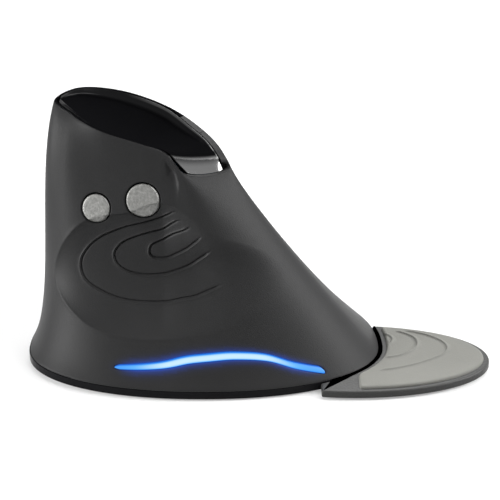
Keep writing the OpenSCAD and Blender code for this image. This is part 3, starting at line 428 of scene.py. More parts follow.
def skin_piece(s_range, v_range, spacing, holes=(), lines=(), edges="", radius=0.5, inner=None, extra=None):
    """A piece of the casing's skin over a range of stations and height shares.

    holes are closed loops and lines are open ones, in stations and height shares. edges names the sides
    to round: l and r for the first and last station, b and t for bottom and top, h for the holes.
    """
    mid = (v_range[0] + v_range[1]) / 2
    ss = np.linspace(s_range[0], s_range[1], 800)
    path = outer(ss, np.full_like(ss, mid))
    run = run_along(path)
    tall = float(np.mean(wall_height(ss)))

    def flat(q):
        return np.stack([np.interp(q[:, 0], ss, run), (q[:, 1] - v_range[0]) * tall], -1)
    low = np.array([0.0, 0.0])
    high = np.array([run[-1], (v_range[1] - v_range[0]) * tall])

    def box_loop(d):
        w, h = high - low - 2 * d
        nx, ny = max(2, int(w / (spacing * 0.8))), max(2, int(h / (spacing * 0.8)))
        return box_points(np.linspace(d, d + w, nx + 1), np.linspace(d, d + h, ny + 1))
    holes_flat = [flat(h) for h in holes]
    loops = [box_loop(0.0)] + holes_flat
    loose = [p for d in EDGE_ROWS for p in box_loop(d)] if edges.strip("h") else []
    for hole in holes_flat:
        ahead = np.roll(hole, -1, 0)
        sign = 1 if np.sum(hole[:, 0] * ahead[:, 1] - ahead[:, 0] * hole[:, 1]) > 0 else -1
        ended = np.concatenate([hole[-1:], hole, hole[:1]])
        for d in EDGE_ROWS:
            loose.extend(offset_line(ended, -sign * d)[1:-1])
    drawn = []
    for line, offsets in lines:
        for d in offsets:
            drawn.append(offset_line(flat(line), d))
    xy, faces = triangulate(loops, drawn, loose, spacing, low, high)
    centre = xy[faces].mean(1)
    keep = np.ones(len(faces), bool)
    for hole in holes_flat:
        keep &= ~inside(centre, hole)
    xy, faces = compact(xy, faces[keep])
    s = np.interp(xy[:, 0], run, ss)
    v = np.clip(v_range[0] + xy[:, 1] / tall, v_range[0], v_range[1])
    away = np.full(len(xy), 1e9)
    for side, distance in (("l", xy[:, 0]), ("r", high[0] - xy[:, 0]),
                           ("b", xy[:, 1]), ("t", high[1] - xy[:, 1])):
        if side in edges:
            away = np.minimum(away, distance)
    if "h" in edges:
        for hole in holes_flat:
            away = np.minimum(away, line_distance(xy, np.concatenate([hole, hole[:1]]))[0])
    depth = edge_roll(away, radius) + SHELL_INSET
    if extra is not None:
        depth = depth + extra(xy, flat)
    deep = np.full(len(xy), WALL) if inner is None else inner(s, v)
    points, shell = closed_solid(skin(s, v, depth), skin(s, v, deep), faces, facing(s, v))
    return points, shell, s, v, xy, flat


# Materials
NOISE_LOW, NOISE_HIGH = 0.3, 0.7
GRAIN_DEPTH = 0.0002


def new_material(name):
    material = bpy.data.materials.new(name)
    material.use_nodes = True
    nodes = material.node_tree.nodes
    return material, nodes, material.node_tree.links, nodes["Principled BSDF"]


def noise(nodes, links, coords, scale, detail=4.0):
    node = nodes.new("ShaderNodeTexNoise")
    node.inputs["Scale"].default_value = scale
    node.inputs["Detail"].default_value = detail
    links.new(coords, node.inputs["Vector"])
    return node.outputs["Fac"]


def ramp(nodes, links, fac, stops):
    node = nodes.new("ShaderNodeValToRGB")
    node.color_ramp.elements[0].position = stops[0][0]
    node.color_ramp.elements[0].color = (*stops[0][1], 1)
    node.color_ramp.elements[1].position = stops[-1][0]
    node.color_ramp.elements[1].color = (*stops[-1][1], 1)
    for position, colour in stops[1:-1]:
        node.color_ramp.elements.new(position).color = (*colour, 1)
    links.new(fac, node.inputs["Fac"])
    return node.outputs["Color"]


def ranged(nodes, links, value, low, high):
    node = nodes.new("ShaderNodeMapRange")
    node.inputs["From Min"].default_value = NOISE_LOW
    node.inputs["From Max"].default_value = NOISE_HIGH
    node.inputs["To Min"].default_value = low
    node.inputs["To Max"].default_value = high
    links.new(value, node.inputs["Value"])
    return node.outputs["Result"]


def bump(nodes, links, height, strength):
    node = nodes.new("ShaderNodeBump")
    node.inputs["Strength"].default_value = strength
    node.inputs["Distance"].default_value = GRAIN_DEPTH
    links.new(height, node.inputs["Height"])
    return node.outputs["Normal"]


def finish_material(name, colour, roughness, spread=0.08, grain=2500.0, grain_bump=0.15, cloud=60.0,
                    specular=0.5, metallic=0.0):
    """A moulded, painted or metal finish: cloudy colour, uneven roughness and a fine grain."""
    material, nodes, links, shader = new_material(name)
    coords = nodes.new("ShaderNodeTexCoord").outputs["Object"]
    clouds = noise(nodes, links, coords, cloud)
    fine = noise(nodes, links, coords, grain, 2.0)
    colour = np.array(colour, float)
    stops = [(NOISE_LOW, colour * (1 - spread)), (NOISE_HIGH, np.minimum(1, colour * (1 + spread)))]
    links.new(ramp(nodes, links, clouds, stops), shader.inputs["Base Color"])
    uneven = ranged(nodes, links, fine, roughness * 0.92, min(1.0, roughness * 1.08))
    links.new(uneven, shader.inputs["Roughness"])
    if grain_bump:
        links.new(bump(nodes, links, fine, grain_bump), shader.inputs["Normal"])
    shader.inputs["Specular IOR Level"].default_value = specular
    shader.inputs["Metallic"].default_value = metallic
    return material


def casing_material():
    """Soft-touch paint, with a painted glow: emission on the plastic beside the light strip stands in for the
    strip's light falling there.
    """
    material, nodes, links, shader = new_material("soft_touch_charcoal")
    coords = nodes.new("ShaderNodeTexCoord").outputs["Object"]
    clouds = noise(nodes, links, coords, 45.0)
    fine = noise(nodes, links, coords, 3200.0, 2.0)
    stops = [(NOISE_LOW, (0.022, 0.022, 0.0224)), (NOISE_HIGH, (0.026, 0.026, 0.0264))]
    links.new(ramp(nodes, links, clouds, stops), shader.inputs["Base Color"])
    links.new(ranged(nodes, links, fine, 0.42, 0.5), shader.inputs["Roughness"])
    links.new(bump(nodes, links, fine, 0.25), shader.inputs["Normal"])
    shader.inputs["Specular IOR Level"].default_value = 0.12
    # Painted glow: blue emission where the strip's light would fall on the casing
    glow = nodes.new("ShaderNodeAttribute")
    glow.attribute_name = "glow"
    links.new(ramp(nodes, links, glow.outputs["Fac"], [(0.0, (0, 0, 0)), (1.0, (0.0, 0.06, 0.5))]),
              shader.inputs["Emission Color"])
    shader.inputs["Emission Strength"].default_value = 1.0
    return material


def light_material():
    """The lit strip: white-blue in the middle, deep blue at its edges and ends."""
    material, nodes, links, shader = new_material("lit_strip")
    core = nodes.new("ShaderNodeAttribute")
    core.attribute_name = "core"
    links.new(ramp(nodes, links, core.outputs["Fac"],
                   [(0.0, (0.0, 0.05, 0.5)), (0.3, (0.02, 0.25, 0.9)), (0.6, (0.12, 0.46, 0.96)),
                    (1.0, (0.6, 0.84, 1.0))]), shader.inputs["Emission Color"])
    shader.inputs["Emission Strength"].default_value = 1.0
    shader.inputs["Base Color"].default_value = (0.004, 0.012, 0.03, 1)
    shader.inputs["Roughness"].default_value = 0.3
    shader.inputs["Specular IOR Level"].default_value = 0.2
    return material


def cover_material():
    """Black lacquer, with a clear coat only on its edges and rear end: painted highlights, where the coat
    reflects the lamps and white surroundings.
    """
    material = finish_material("piano_black", (0.004, 0.004, 0.0045), 0.15, grain=900.0, grain_bump=0.0,
                               specular=0.0)
    nodes, links = material.node_tree.nodes, material.node_tree.links
    shader = nodes["Principled BSDF"]
    # The coat's weight mask paints highlights: the coat sits only where the cover should shine
    highlight_coat = nodes.new("ShaderNodeAttribute")
    highlight_coat.attribute_name = "highlight_coat"
    links.new(highlight_coat.outputs["Fac"], shader.inputs["Coat Weight"])
    shader.inputs["Coat Roughness"].default_value = 0.14
    shader.inputs["Coat IOR"].default_value = 2.4
    return material


CASING = casing_material()
LIGHT = light_material()
GLOSS = finish_material("gloss_black", (0.010, 0.010, 0.011), 0.15, grain=900.0, grain_bump=0.0,
                        specular=0.05)
COVER = cover_material()
SILVER = finish_material("satin_silver", (0.23, 0.23, 0.22), 0.45, spread=0.25, grain=2200.0, grain_bump=0.6,
                         cloud=1300.0, metallic=0.5)
RUBBER = finish_material("wheel_rubber", (0.018, 0.018, 0.018), 0.62, grain=3000.0, grain_bump=0.3,
                         specular=0.3)
PAD = finish_material("pad_rubber", (0.190, 0.190, 0.174), 0.7, spread=0.05, grain=2600.0, grain_bump=0.35,
                      specular=0.25)
REST = finish_material("rest_plastic", (0.030, 0.030, 0.029), 0.45, spread=0.2, grain=1500.0, grain_bump=0.6,
                       specular=0.3)
FOOT = finish_material("slick_feet", (0.05, 0.05, 0.05), 0.3, grain=1200.0, grain_bump=0.1)
BOARD = finish_material("solder_mask", (0.02, 0.12, 0.05), 0.35, spread=0.2, grain=1800.0, grain_bump=0.2)
MOULDED = finish_material("moulded_black", (0.02, 0.02, 0.022), 0.5, grain=2000.0, grain_bump=0.2)
PLUNGER = finish_material("plunger_red", (0.5, 0.06, 0.04), 0.4, grain=2000.0, grain_bump=0.1)
STEEL = finish_material("bright_steel", (0.6, 0.6, 0.61), 0.28, spread=0.1, grain=1600.0, grain_bump=0.1,
                        metallic=1.0)
CELL = finish_material("cell_wrap", (0.08, 0.2, 0.4), 0.3, grain=1200.0, grain_bump=0.05)
CHIP = finish_material("chip_resin", (0.8, 0.78, 0.6), 0.3, grain=1200.0, grain_bump=0.05)
LENS = finish_material("clear_lens", (0.75, 0.82, 0.84), 0.05, spread=0.02, grain=800.0, grain_bump=0.0)
LENS.node_tree.nodes["Principled BSDF"].inputs["Transmission Weight"].default_value = 0.9

CAD_FINISH = {
    GLOSS: ["base_plate", "battery_door"],
    SILVER: ["power_slider"],
    CHIP: ["light_chips"],
    LENS: ["sensor_lens"],
    FOOT: ["glide_feet", "rest_feet"],
    BOARD: ["light_flex", "thumb_board", "click_board", "main_board"],
    MOULDED: ["forward_switch", "back_switch", "wheel_hub", "wheel_cradle", "wheel_switch", "dpi_switch",
              "index_switch", "middle_switch", "wheel_emitter", "wheel_detector", "sensor_chip",
              "receiver_cap", "power_switch"],
    PLUNGER: ["forward_plunger", "back_plunger", "wheel_plunger", "dpi_plunger", "index_plunger",
              "middle_plunger"],
    STEEL: ["thumb_board_screws", "wheel_axle", "click_board_screws", "main_board_screws", "battery_contacts",
            "receiver_plug", "casing_screws"],
    CELL: ["battery_cell"],
}
for material, names in CAD_FINISH.items():
    for name in names:
        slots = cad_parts[name].data.materials
        slots.clear()
        slots.append(material)


# The light strip's line and its width
def wave(u):
    n = len(WAVE) - 1
    k = np.clip(np.floor(u * n).astype(int), 0, n - 1)
    f = (u * n - k)[..., None]
    return spline(WAVE[np.maximum(k - 1, 0)], WAVE[k], WAVE[k + 1], WAVE[np.minimum(k + 2, n)], f)


WAVE_U = np.linspace(0, 1, 200)
WAVE_MM = run_along(outer(*wave(WAVE_U).T))


def wave_half(u, width):
    """Half the strip's width: it swells from a point at the front and ends round at the rear."""
    run = np.interp(u, WAVE_U, WAVE_MM)
    rest = WAVE_MM[-1] - run
    half = width / 2 * np.minimum(1, 0.5 + 0.5 * u / 0.3)
    front = np.clip(run / 1.6, 0, 1) ** 0.5
    rear = np.sqrt(np.maximum(0, 1 - (1 - np.clip(rest / (width / 2), 0, 1)) ** 2))
    return half * front * rear


def wave_edge(u, side, width):
    c = wave(u)
    return np.stack([c[:, 0], c[:, 1] + side * wave_half(u, width) * STRIP_RISE / wall_height(c[:, 0])], -1)


def light_guide():
    u = (1 - np.cos(np.linspace(0.03, math.pi - 0.03, 150))) / 2
    sides = np.linspace(-1, 1, 9)
    front, back, core = [], [], []
    for side in sides:
        q = wave_edge(u, side, STRIP_W)
        front.append(skin(q[:, 0], q[:, 1], -0.04 - 0.12 * (1 - side ** 2)))
        back.append(skin(q[:, 0], q[:, 1], GUIDE_DEPTH))
        middle = (0.45 + 0.55 * smooth(0.02, 0.25, u)) * (1 - 0.5 * smooth(0.68, 0.95, u))
        core.append((1 - 0.8 * abs(side) ** 4) * middle)
    faces = sheet_faces(np.arange(len(sides) * len(u)).reshape(len(sides), len(u)))
    points = np.concatenate([np.concatenate(front), np.concatenate(back)])
    marks = {"core": np.concatenate([np.concatenate(core)] * 2)}
    add_piece("light_strip", points, faces, LIGHT, "casing", ["light_guide"], marks, sharp=60)


light_guide()

# The thumb side
LINE_OUTER = [[4.068, 0.7539], [3.639, 0.7027], [3.086, 0.6623], [2.636, 0.6241], [2.328, 0.5881],
              [1.993, 0.5444], [1.749, 0.4994], [1.581, 0.4492], [1.555, 0.4072], [1.635, 0.3717],
              [1.794, 0.3481], [2.029, 0.3307], [2.321, 0.3135], [2.574, 0.3073], [2.917, 0.3107],
              [3.414, 0.3268], [3.967, 0.358], [4.253, 0.3932], [4.662, 0.4586]]
LINE_MIDDLE = [[4.142, 0.7177], [3.543, 0.6407], [3.036, 0.6059], [2.707, 0.5737], [2.446, 0.5376],
               [2.304, 0.4987], [2.282, 0.4685], [2.357, 0.4378], [2.537, 0.4185], [2.787, 0.4132],
               [3.041, 0.4203], [3.482, 0.4392], [3.947, 0.4748], [4.299, 0.5408], [4.641, 0.6156]]
LINE_INNER = [[4.347, 0.7107], [4.009, 0.6479], [3.471, 0.5891], [3.07, 0.5538], [2.957, 0.5187],
              [3.007, 0.4942], [3.211, 0.4935], [3.55, 0.5069], [3.952, 0.5495], [4.31, 0.6245],
              [4.573, 0.6875]]
GRIP_LINES = [curve(p, n) for p, n in ((LINE_OUTER, 300), (LINE_MIDDLE, 200), (LINE_INNER, 140))]
GRIP_OFFSETS = (-0.7, -0.5, -0.32, -0.14, 0.0, 0.12, 0.26, 0.42, 0.7, 1.1)
GRIP_LIP, GRIP_GROOVE, GRIP_STEP = 0.16, 0.34, 0.2
GRIP_RETURN = 3.5
GRIP_FADE = 5.0
SHOULDER = curve([[3.79, 0.9782], [4.162, 0.9651], [4.336, 0.9585], [4.342, 0.9159], [4.26, 0.8633],
                  [4.105, 0.7836]], 120)
SHOULDER_DEPTH = 1.5
SHOULDER_OFFSETS = (-0.4, 0.0, 0.4)
SCOOP_OFFSETS = (-0.5, -0.25, 0.0, 0.15, 0.3, 0.45, 0.8)
RIM_PAINT = 0.3
RIM_WIDER = 1.2
RIM_ROUND, RIM_TOP = 0.35, 0.9999
SHELL_INSET = 0.005


def scoop_edge(count):
    angle = np.linspace(0, 360, count, endpoint=False)
    r = np.radians(angle)
    want = SCOOP_CENTRE + (scoop_reach(angle) * 0.999)[:, None] * np.stack([np.cos(r), np.sin(r)], -1)
    grid_s, grid_v = np.meshgrid(np.linspace(0.3, 5.7, 90), np.linspace(0.03, 0.97, 60), indexing="ij")
    known = draw_plane(outer(grid_s, grid_v)).reshape(-1, 2)
    front = (facing(grid_s, grid_v)[..., 1] < 0.2).reshape(-1)
    guess = []
    for w in want:
        k = np.argmin(np.hypot(*(known - w).T) + np.where(front, 0, 1e3))
        guess.append((grid_s.reshape(-1)[k], grid_v.reshape(-1)[k]))
    return seek(want, lambda s, v: draw_plane(outer(s, v)), guess)


def grip_depth(xy, flat):
    """The shallow steps that draw the grip's nested lines, fading out at their ends."""
    depth = np.zeros(len(xy))
    for line in GRIP_LINES:
        dist, side, place, run = line_distance(xy, flat(line))
        d = dist * np.where(side == 0, 1, side)
        fade = smooth(0, GRIP_FADE, place) * smooth(0, GRIP_FADE, run - place)
        step = smooth(-0.2, 0.1, d) * np.exp(-np.maximum(d, 0) / GRIP_RETURN)
        groove = np.exp(-((d - 0.12) / 0.2) ** 2)
        raised = np.exp(-((d + 0.32) / 0.2) ** 2)
        depth += fade * (GRIP_STEP * step + GRIP_GROOVE * groove - GRIP_LIP * raised)
    dist, side, place, run = line_distance(xy, flat(SHOULDER))
    front = np.where(side < 0, dist, 0)
    fade = smooth(0, 5, place) * (1 - smooth(0.45, 1, place / run))
    return depth + SHOULDER_DEPTH * fade * (1 - np.exp(-front / 2.4)) * np.exp(-(front / 9) ** 2)


def rim_extra(s):
    """The rim grows wider at the rear, beyond the cover's far corner."""
    return RIM_WIDER * smooth(5.7, 6.4, s) * (1 - smooth(8.2, 9.2, s))


def lip_depth(s, v):
    below = (1 - v) * wall_height(s)
    return np.where(below < REBATE, LIP + rim_extra(s), WALL)


def rim_trim(s, v):
    """The black paint on the rim round the cover."""
    front = (s < 4.2) | (s > 8.6)
    painted = (1 - v) * wall_height(s) < RIM_PAINT
    return COVER, np.concatenate([painted & front, (v > 0.9) & front])


def rebate_rows(first, last, count):
    """Lines that keep the step under the rim crisp."""
    s = np.linspace(first, last, count)
    return [(np.stack([s, 1 - below / wall_height(s)], -1), (0.0,)) for below in (REBATE, REBATE + 0.4)]


def thumb_shell():
    first = FRONT_SEAM - STATIONS + SEAM_GAP
    last = REAR_SEAM - SEAM_GAP
    holes = []
    for local, d, at in ((FORWARD_LOCAL, FORWARD_D, FORWARD_AT), (BACK_LOCAL, BACK_D, BACK_AT)):
        loop = ring(local, d / 2 + BUTTON_GAP, 96)
        holes.append(seek(loop, thumb_xy, np.tile(at, (96, 1))))
    u = (1 - np.cos(np.linspace(0, math.pi, 120))) / 2
    wide = STRIP_W + 2 * STRIP_GAP
    holes.append(np.concatenate([wave_edge(u[1:-1], -1, wide), wave_edge(u[-2:0:-1], 1, wide)]))
    edge = scoop_edge(420)
    edge = np.concatenate([edge, edge[:1]])
    kept = [(edge, SCOOP_OFFSETS), (SHOULDER, SHOULDER_OFFSETS)]
    kept += [(line, GRIP_OFFSETS) for line in GRIP_LINES]
    kept += rebate_rows(first, last, 260)
    points, faces, s, v, xy, flat = skin_piece((first, last), (0.0, RIM_TOP), 0.75, holes, kept, "bth",
                                               RIM_ROUND, lip_depth, grip_depth)
    # Painted glow of the strip's light on the casing beside it, fading with distance from the strip and
    # towards its ends
    u = np.linspace(0, 1, 160)
    strip = flat(wave(u))
    near, _, place, run = line_distance(xy, strip)
    half = np.interp(place / run, u, wave_half(u, STRIP_W)) * STRIP_RISE
    ends = smooth(-1, 6, place) * smooth(-1, 6, run - place)
    glow = np.exp(-np.maximum(0, near - half) / 0.5) * ends
    marks = {"glow": np.concatenate([glow, 0 * glow])}
    add_piece("thumb_side", points, faces, CASING, "casing", ["thumb_shell"], marks, 50,
              rim_trim(s, v))


thumb_shell()


def thumb_button(name, local, d, at, node, body):
    """A button cap whose face follows the casing, creased where the scoop's edge runs under it."""
    radius = d / 2
    proud, roll, skirt = 0.3, 0.5, 5.8
    edge = in_frame(outer(*scoop_edge(420).T), THUMB_AT, THUMB_AXES)[:, :2]
    edge = np.concatenate([edge, edge[:1]])
    near = np.hypot(*(edge - local[:2]).T) < radius - 0.12
    runs = np.split(np.arange(len(edge)), np.where(np.diff(near.astype(int)))[0] + 1)
    lines = [edge[r] for r in runs if near[r[0]] and len(r) > 2]
    loose = [p for k in (0.05, 0.15, 0.3, 0.5) for p in ring(local, radius - k, 90)]
    low, high = local[:2] - radius, local[:2] + radius
    xy, faces = triangulate([ring(local, radius, 96)], lines, loose, 0.4, low, high)
    xy, faces = compact(xy, faces[np.hypot(*(xy[faces].mean(1) - local[:2]).T) < radius])
    q = seek(xy, thumb_xy, np.tile(at, (len(xy), 1)))
    z = in_frame(skin(q[:, 0], q[:, 1], 0.0), THUMB_AT, THUMB_AXES)[:, 2]
    z = z + proud - edge_roll(radius - np.hypot(*(xy - local[:2]).T), roll)
    front = from_frame(np.column_stack([xy, z]), THUMB_AT, THUMB_AXES)
    back = from_frame(np.column_stack([xy, np.full(len(xy), -skirt)]), THUMB_AT, THUMB_AXES)
    points, shell = closed_solid(front, back, faces, np.tile(THUMB_AXES[2], (len(xy), 1)))
    add_piece(name, points, shell, SILVER, body, [node], sharp=35)


thumb_button("forward_cap", FORWARD_LOCAL, FORWARD_D, FORWARD_AT, "forward_button", "forward_thumb_button")
thumb_button("back_cap", BACK_LOCAL, BACK_D, BACK_AT, "back_button", "back_thumb_button")


# The finger side
def gap_share(gap, s):
    return gap / float(wall_height(s))


def gap_stations(gap, s, v):
    return gap * 0.02 / float(np.linalg.norm(outer(s + 0.01, v) - outer(s - 0.01, v)))


WINDOW_LOW = MIDDLE_LOW - gap_share(KEY_GAP, WHEEL_S)
WINDOW_HIGH = INDEX_HIGH + gap_share(KEY_GAP, WHEEL_S)
WINDOW_REAR = KEY_REAR - gap_stations(KEY_GAP, KEY_REAR, WHEEL_V)
WINDOW_FRONT = KEY_FRONT + gap_stations(KEY_FRONT_GAP, KEY_FRONT, WHEEL_V)
INDEX_LOW = STRIP_HIGH + gap_share(KEY_GAP, WHEEL_S)
MIDDLE_HIGH = STRIP_LOW - gap_share(KEY_GAP, WHEEL_S)


def window_loop():
    return box_points(np.linspace(WINDOW_REAR, WINDOW_FRONT, 70), np.linspace(WINDOW_LOW, WINDOW_HIGH, 60))


def finger_shell():
    first, last = REAR_SEAM + SEAM_GAP, FRONT_SEAM - SEAM_GAP
    points, faces, s, v, *_ = skin_piece((first, last), (0.0, RIM_TOP), 0.9, [window_loop()],
                                         rebate_rows(first, last, 130), "bth", RIM_ROUND, lip_depth)
    add_piece("finger_side", points, faces, CASING, "casing", ["finger_shell"], None, 50,
              rim_trim(s, v))


finger_shell()


def click_key(name, low, high, node, body):
    points, faces, *_ = skin_piece((KEY_REAR, KEY_FRONT), (low, high), 0.8, (), (), "lrbt", 0.6)
    add_piece(name, points, faces, CASING, body, [node], sharp=50)


click_key("index_key_cap", INDEX_LOW, INDEX_HIGH, "index_key", "index_click_key")
click_key("middle_key_cap", MIDDLE_LOW, MIDDLE_HIGH, "middle_key", "middle_click_key")


def rounded_box(x, y, radius, count=10):
    loop = []
    for k, (right, up) in enumerate(((1, 1), (-1, 1), (-1, -1), (1, -1))):
        t = np.linspace(0, math.pi / 2, count) + k * math.pi / 2
        centre = np.array([right * (x - radius), up * (y - radius)])
        loop.append(centre + radius * np.stack([np.cos(t), np.sin(t)], -1))
    return even_loop(np.concatenate(loop), 120)


def centre_strip():
    slot = rounded_box(SLOT_X, WHEEL_W / 2 + SLOT_SIDE, 1.0)
    slot = seek(slot, finger_xy, np.tile((WHEEL_S, WHEEL_V), (len(slot), 1)))
    dpi = ring((DPI_X, 0.0), DPI_D / 2 + BUTTON_GAP, 72)
    dpi = seek(dpi, finger_xy, np.tile((9.1, WHEEL_V), (len(dpi), 1)))
    points, faces, *_ = skin_piece((KEY_REAR, KEY_FRONT), (STRIP_LOW, STRIP_HIGH), 0.6, [slot, dpi], (),
                                   "lrbth", 0.4)
    add_piece("centre_panel", points, faces, GLOSS, "casing", ["centre_strip"], sharp=50)


centre_strip()


def revolve(profile, count, wobble):
    """Points and faces of a closed ring turned from a closed profile of radius and height pairs."""
    profile = np.asarray(profile, float)
    t = np.linspace(0, 2 * math.pi, count, endpoint=False)
    points = []
    for a in t:
        r = profile[:, 0] - wobble(profile, a)
        points.append(np.stack([r * np.cos(a), profile[:, 1], r * np.sin(a)], -1))
    m = len(profile)
    faces = [(i * m + j, i * m + (j + 1) % m, (i + 1) % count * m + (j + 1) % m, (i + 1) % count * m + j)
             for i in range(count) for j in range(m)]
    return np.concatenate(points), faces


def wheel_tyre():
    hub = WHEEL_R - TYRE_T
    half = WHEEL_W / 2
    across = np.linspace(-half + 0.15, half - 0.15, 15)
    crown = [(WHEEL_R - 0.55 * (y / half) ** 4 - 0.12 * (y / half) ** 2, y) for y in across]
    profile = [(hub, half - 0.05), (hub, -half + 0.05), (hub + 0.5, -half), (WHEEL_R - 1.0, -half)] + crown
    profile += [(WHEEL_R - 1.0, half), (hub + 0.5, half)]
    ribs = 24

    def wobble(p, a):
        groove = np.clip(np.cos(a * ribs) - 0.35, 0, 1) / 0.65
        tread = (p[:, 0] > WHEEL_R - 0.9) * (np.abs(p[:, 1]) < half - 0.4)
        return 0.4 * groove ** 0.6 * tread
    points, faces = revolve(profile, ribs * 12, wobble)
    centre = FINGER_AT + (WHEEL_PROUD - WHEEL_R) * FINGER_AXES[2]
    add_piece("wheel_tread", from_frame(points, centre, FINGER_AXES), faces, RUBBER, "scroll_wheel",
              ["wheel_tyre"], sharp=50)


wheel_tyre()


def dpi_cap():
    radius = DPI_D / 2
    top = in_frame(outer(WHEEL_S + DPI_X / FINGER_SPAN, WHEEL_V), FINGER_AT, FINGER_AXES)[2] + DPI_PROUD
    profile = [(0.0, top - 0.25), (0.6, top - 0.24), (1.2, top - 0.17), (1.7, top - 0.04), (2.0, top),
               (2.2, top - 0.05), (radius - 0.05, top - 0.2), (radius, top - 0.45), (radius, top - 5.0),
               (radius + 0.75, top - 5.0), (radius + 0.75, top - 5.8), (0.0, top - 5.8)]
    count, m = 72, len(profile)
    points, faces = [], []
    for i in range(count):
        a = 2 * math.pi * i / count
        points += [(DPI_X + r * math.cos(a), r * math.sin(a), z) for r, z in profile]
    for i in range(count):
        for j in range(m - 1):
            a, b = i * m + j, (i + 1) % count * m + j
            faces.append((a, a + 1, b + 1, b)[::-1])
    add_piece("sensitivity_cap", from_frame(np.array(points), FINGER_AT, FINGER_AXES), faces, SILVER,
              "sensitivity_button", ["dpi_button"], sharp=40)


dpi_cap()


# The top cover
def cover_edge(s, inset):
    """A place beside the rim, inside its lip by the cover's gap."""
    one = np.ones_like(s)
    n = facing(s, one)
    along = unit((outer(s + 0.01, one) - outer(s - 0.01, one))[..., :2])
    reach = (LIP + rim_extra(s) + COVER_GAP + inset) / np.linalg.norm(n[..., :2], axis=-1)
    p = outer(s, one)
    p[..., 0] -= reach * along[..., 1]
    p[..., 1] += reach * along[..., 0]
    return p


def cover_point(u, w, inset):
    near = cover_edge(5 * u, inset)
    far = cover_edge(12 - 6 * u, inset)
    end = cover_edge(5 + w, inset)
    near_end = cover_edge(np.full_like(u, 5.0), inset)
    far_end = cover_edge(np.full_like(u, 6.0), inset)
    k = w[..., None]
    ruled = near * (1 - k) + far * k
    ruled_end = near_end * (1 - k) + far_end * k
    along = smooth(COVER_FRONT, DISH_FULL, u) * (1 - smooth(DISH_FADE, DISH_END, u))
    sag = DISH_DEPTH * np.power(4 * w * (1 - w), 0.75) * along
    p = ruled + (end - ruled_end) * (u ** 2)[..., None]
    p[..., 2] -= sag
    return p


def straight_end(rows, u):
    """The cover's rear end as a straight face down to its edge, round where it begins."""
    first = int(np.searchsorted(u, COVER_END))
    share = ((u[first:] - u[first]) / (1 - u[first]))[:, None, None]
    rows[first:] = rows[first] * (1 - share) + rows[-1] * share
    drawn = rows.copy()
    for k in range(first - 2 * COVER_END_ROWS, first + 2 * COVER_END_ROWS):
        rows[k] = drawn[k - COVER_END_ROWS:k + COVER_END_ROWS + 1].mean(0)
    return rows


def top_cover():
    u = np.linspace(COVER_FRONT, 1, 150)
    w = (1 - np.cos(np.linspace(0, math.pi, 80))) / 2
    uu, ww = np.meshgrid(u, w, indexing="ij")
    top = straight_end(cover_point(uu, ww, 0.0), u)
    low = straight_end(cover_point(uu, ww, COVER_BEVEL), u)
    low[..., 2] -= COVER_THICKNESS
    near, far = (cover_point(u, np.full_like(u, k), 0.0) for k in (0.0, 1.0))
    across = np.linalg.norm(far - near, axis=1)
    side = np.minimum(ww, 1 - ww) * across[:, None]
    fall = 0.6 * smooth(1.8, 2.5, side) * (1 - smooth(0.55, 0.75, uu)) + 0.3 * edge_roll(side, 0.35) / 0.35
    top[..., 2] -= fall
    faces = sheet_faces(np.arange(uu.size).reshape(uu.shape).T)
    points = np.concatenate([top.reshape(-1, 3), low.reshape(-1, 3)])
    # Clear-coat mask for painted highlights: a faint band along the near side, thin lines at the far and near
    # edges, and the rear end
    band = BAND_COAT * (1 - smooth(1.8, 2.2, side)) * (1 - smooth(0.5, 0.75, uu))
    far_line = FAR_COAT * (1 - smooth(0.4, 0.8, side)) * (ww > 0.5) * smooth(0.3, 0.5, uu)
    near_line = NEAR_COAT * np.exp(-((side - 1.8) / 0.2) ** 2) * (ww < 0.5)
    near_line *= smooth(0.06, 0.1, uu) * (1 - smooth(0.2, 0.3, uu))
    end = smooth(0.83, 0.94, uu)
    highlight_coat = np.max([band, far_line, near_line, end], axis=0).reshape(-1)
    marks = {"highlight_coat": np.concatenate([highlight_coat, 0 * highlight_coat])}
    add_piece("top_panel", points, faces, COVER, "casing", ["top_cover"], marks, 50)


top_cover()


# The palm rest
def rest_outline(inset, out, from_x, corner):
    """The rest's plan: its oval, less the base's oval grown by out, less all before from_x."""
    t = np.radians(np.linspace(-180, 180, 1441))
    half = np.array([REST_HALF_L, REST_HALF_W]) - inset
    ellipse = REST_CENTRE + half * np.stack([np.cos(t), np.sin(t)], -1)
    base = oval_out(np.linspace(-90, 90, 1441), out)
    keep = ~inside(ellipse, base_loop(out)) & (ellipse[:, 0] > from_x)
    shares = np.hypot(*((base - REST_CENTRE) / half).T)
    inner_run = base[(shares < 1) & (base[:, 0] > from_x)][::-1]
    return round_corners(np.concatenate([ellipse[keep], inner_run]), corner)


def base_loop(out):
    return oval_out(np.linspace(0, 360, 720, endpoint=False) + 0.25, out)


def round_corners(loop, radius):
    """Evenly spaced points on a loop, with its sharp corners drawn round."""
    points = even_loop(loop)
    reach = max(1, int(radius / LOOP_STEP / 2))
    for _ in range(2):
        total = sum(np.roll(points, k, 0) for k in range(-reach, reach + 1))
        points = total / (2 * reach + 1)
    return points


def inset_loop(loop, d):
    along = unit(np.roll(loop, -1, 0) - np.roll(loop, 1, 0))
    return loop + d * np.stack([-along[:, 1], along[:, 0]], -1)


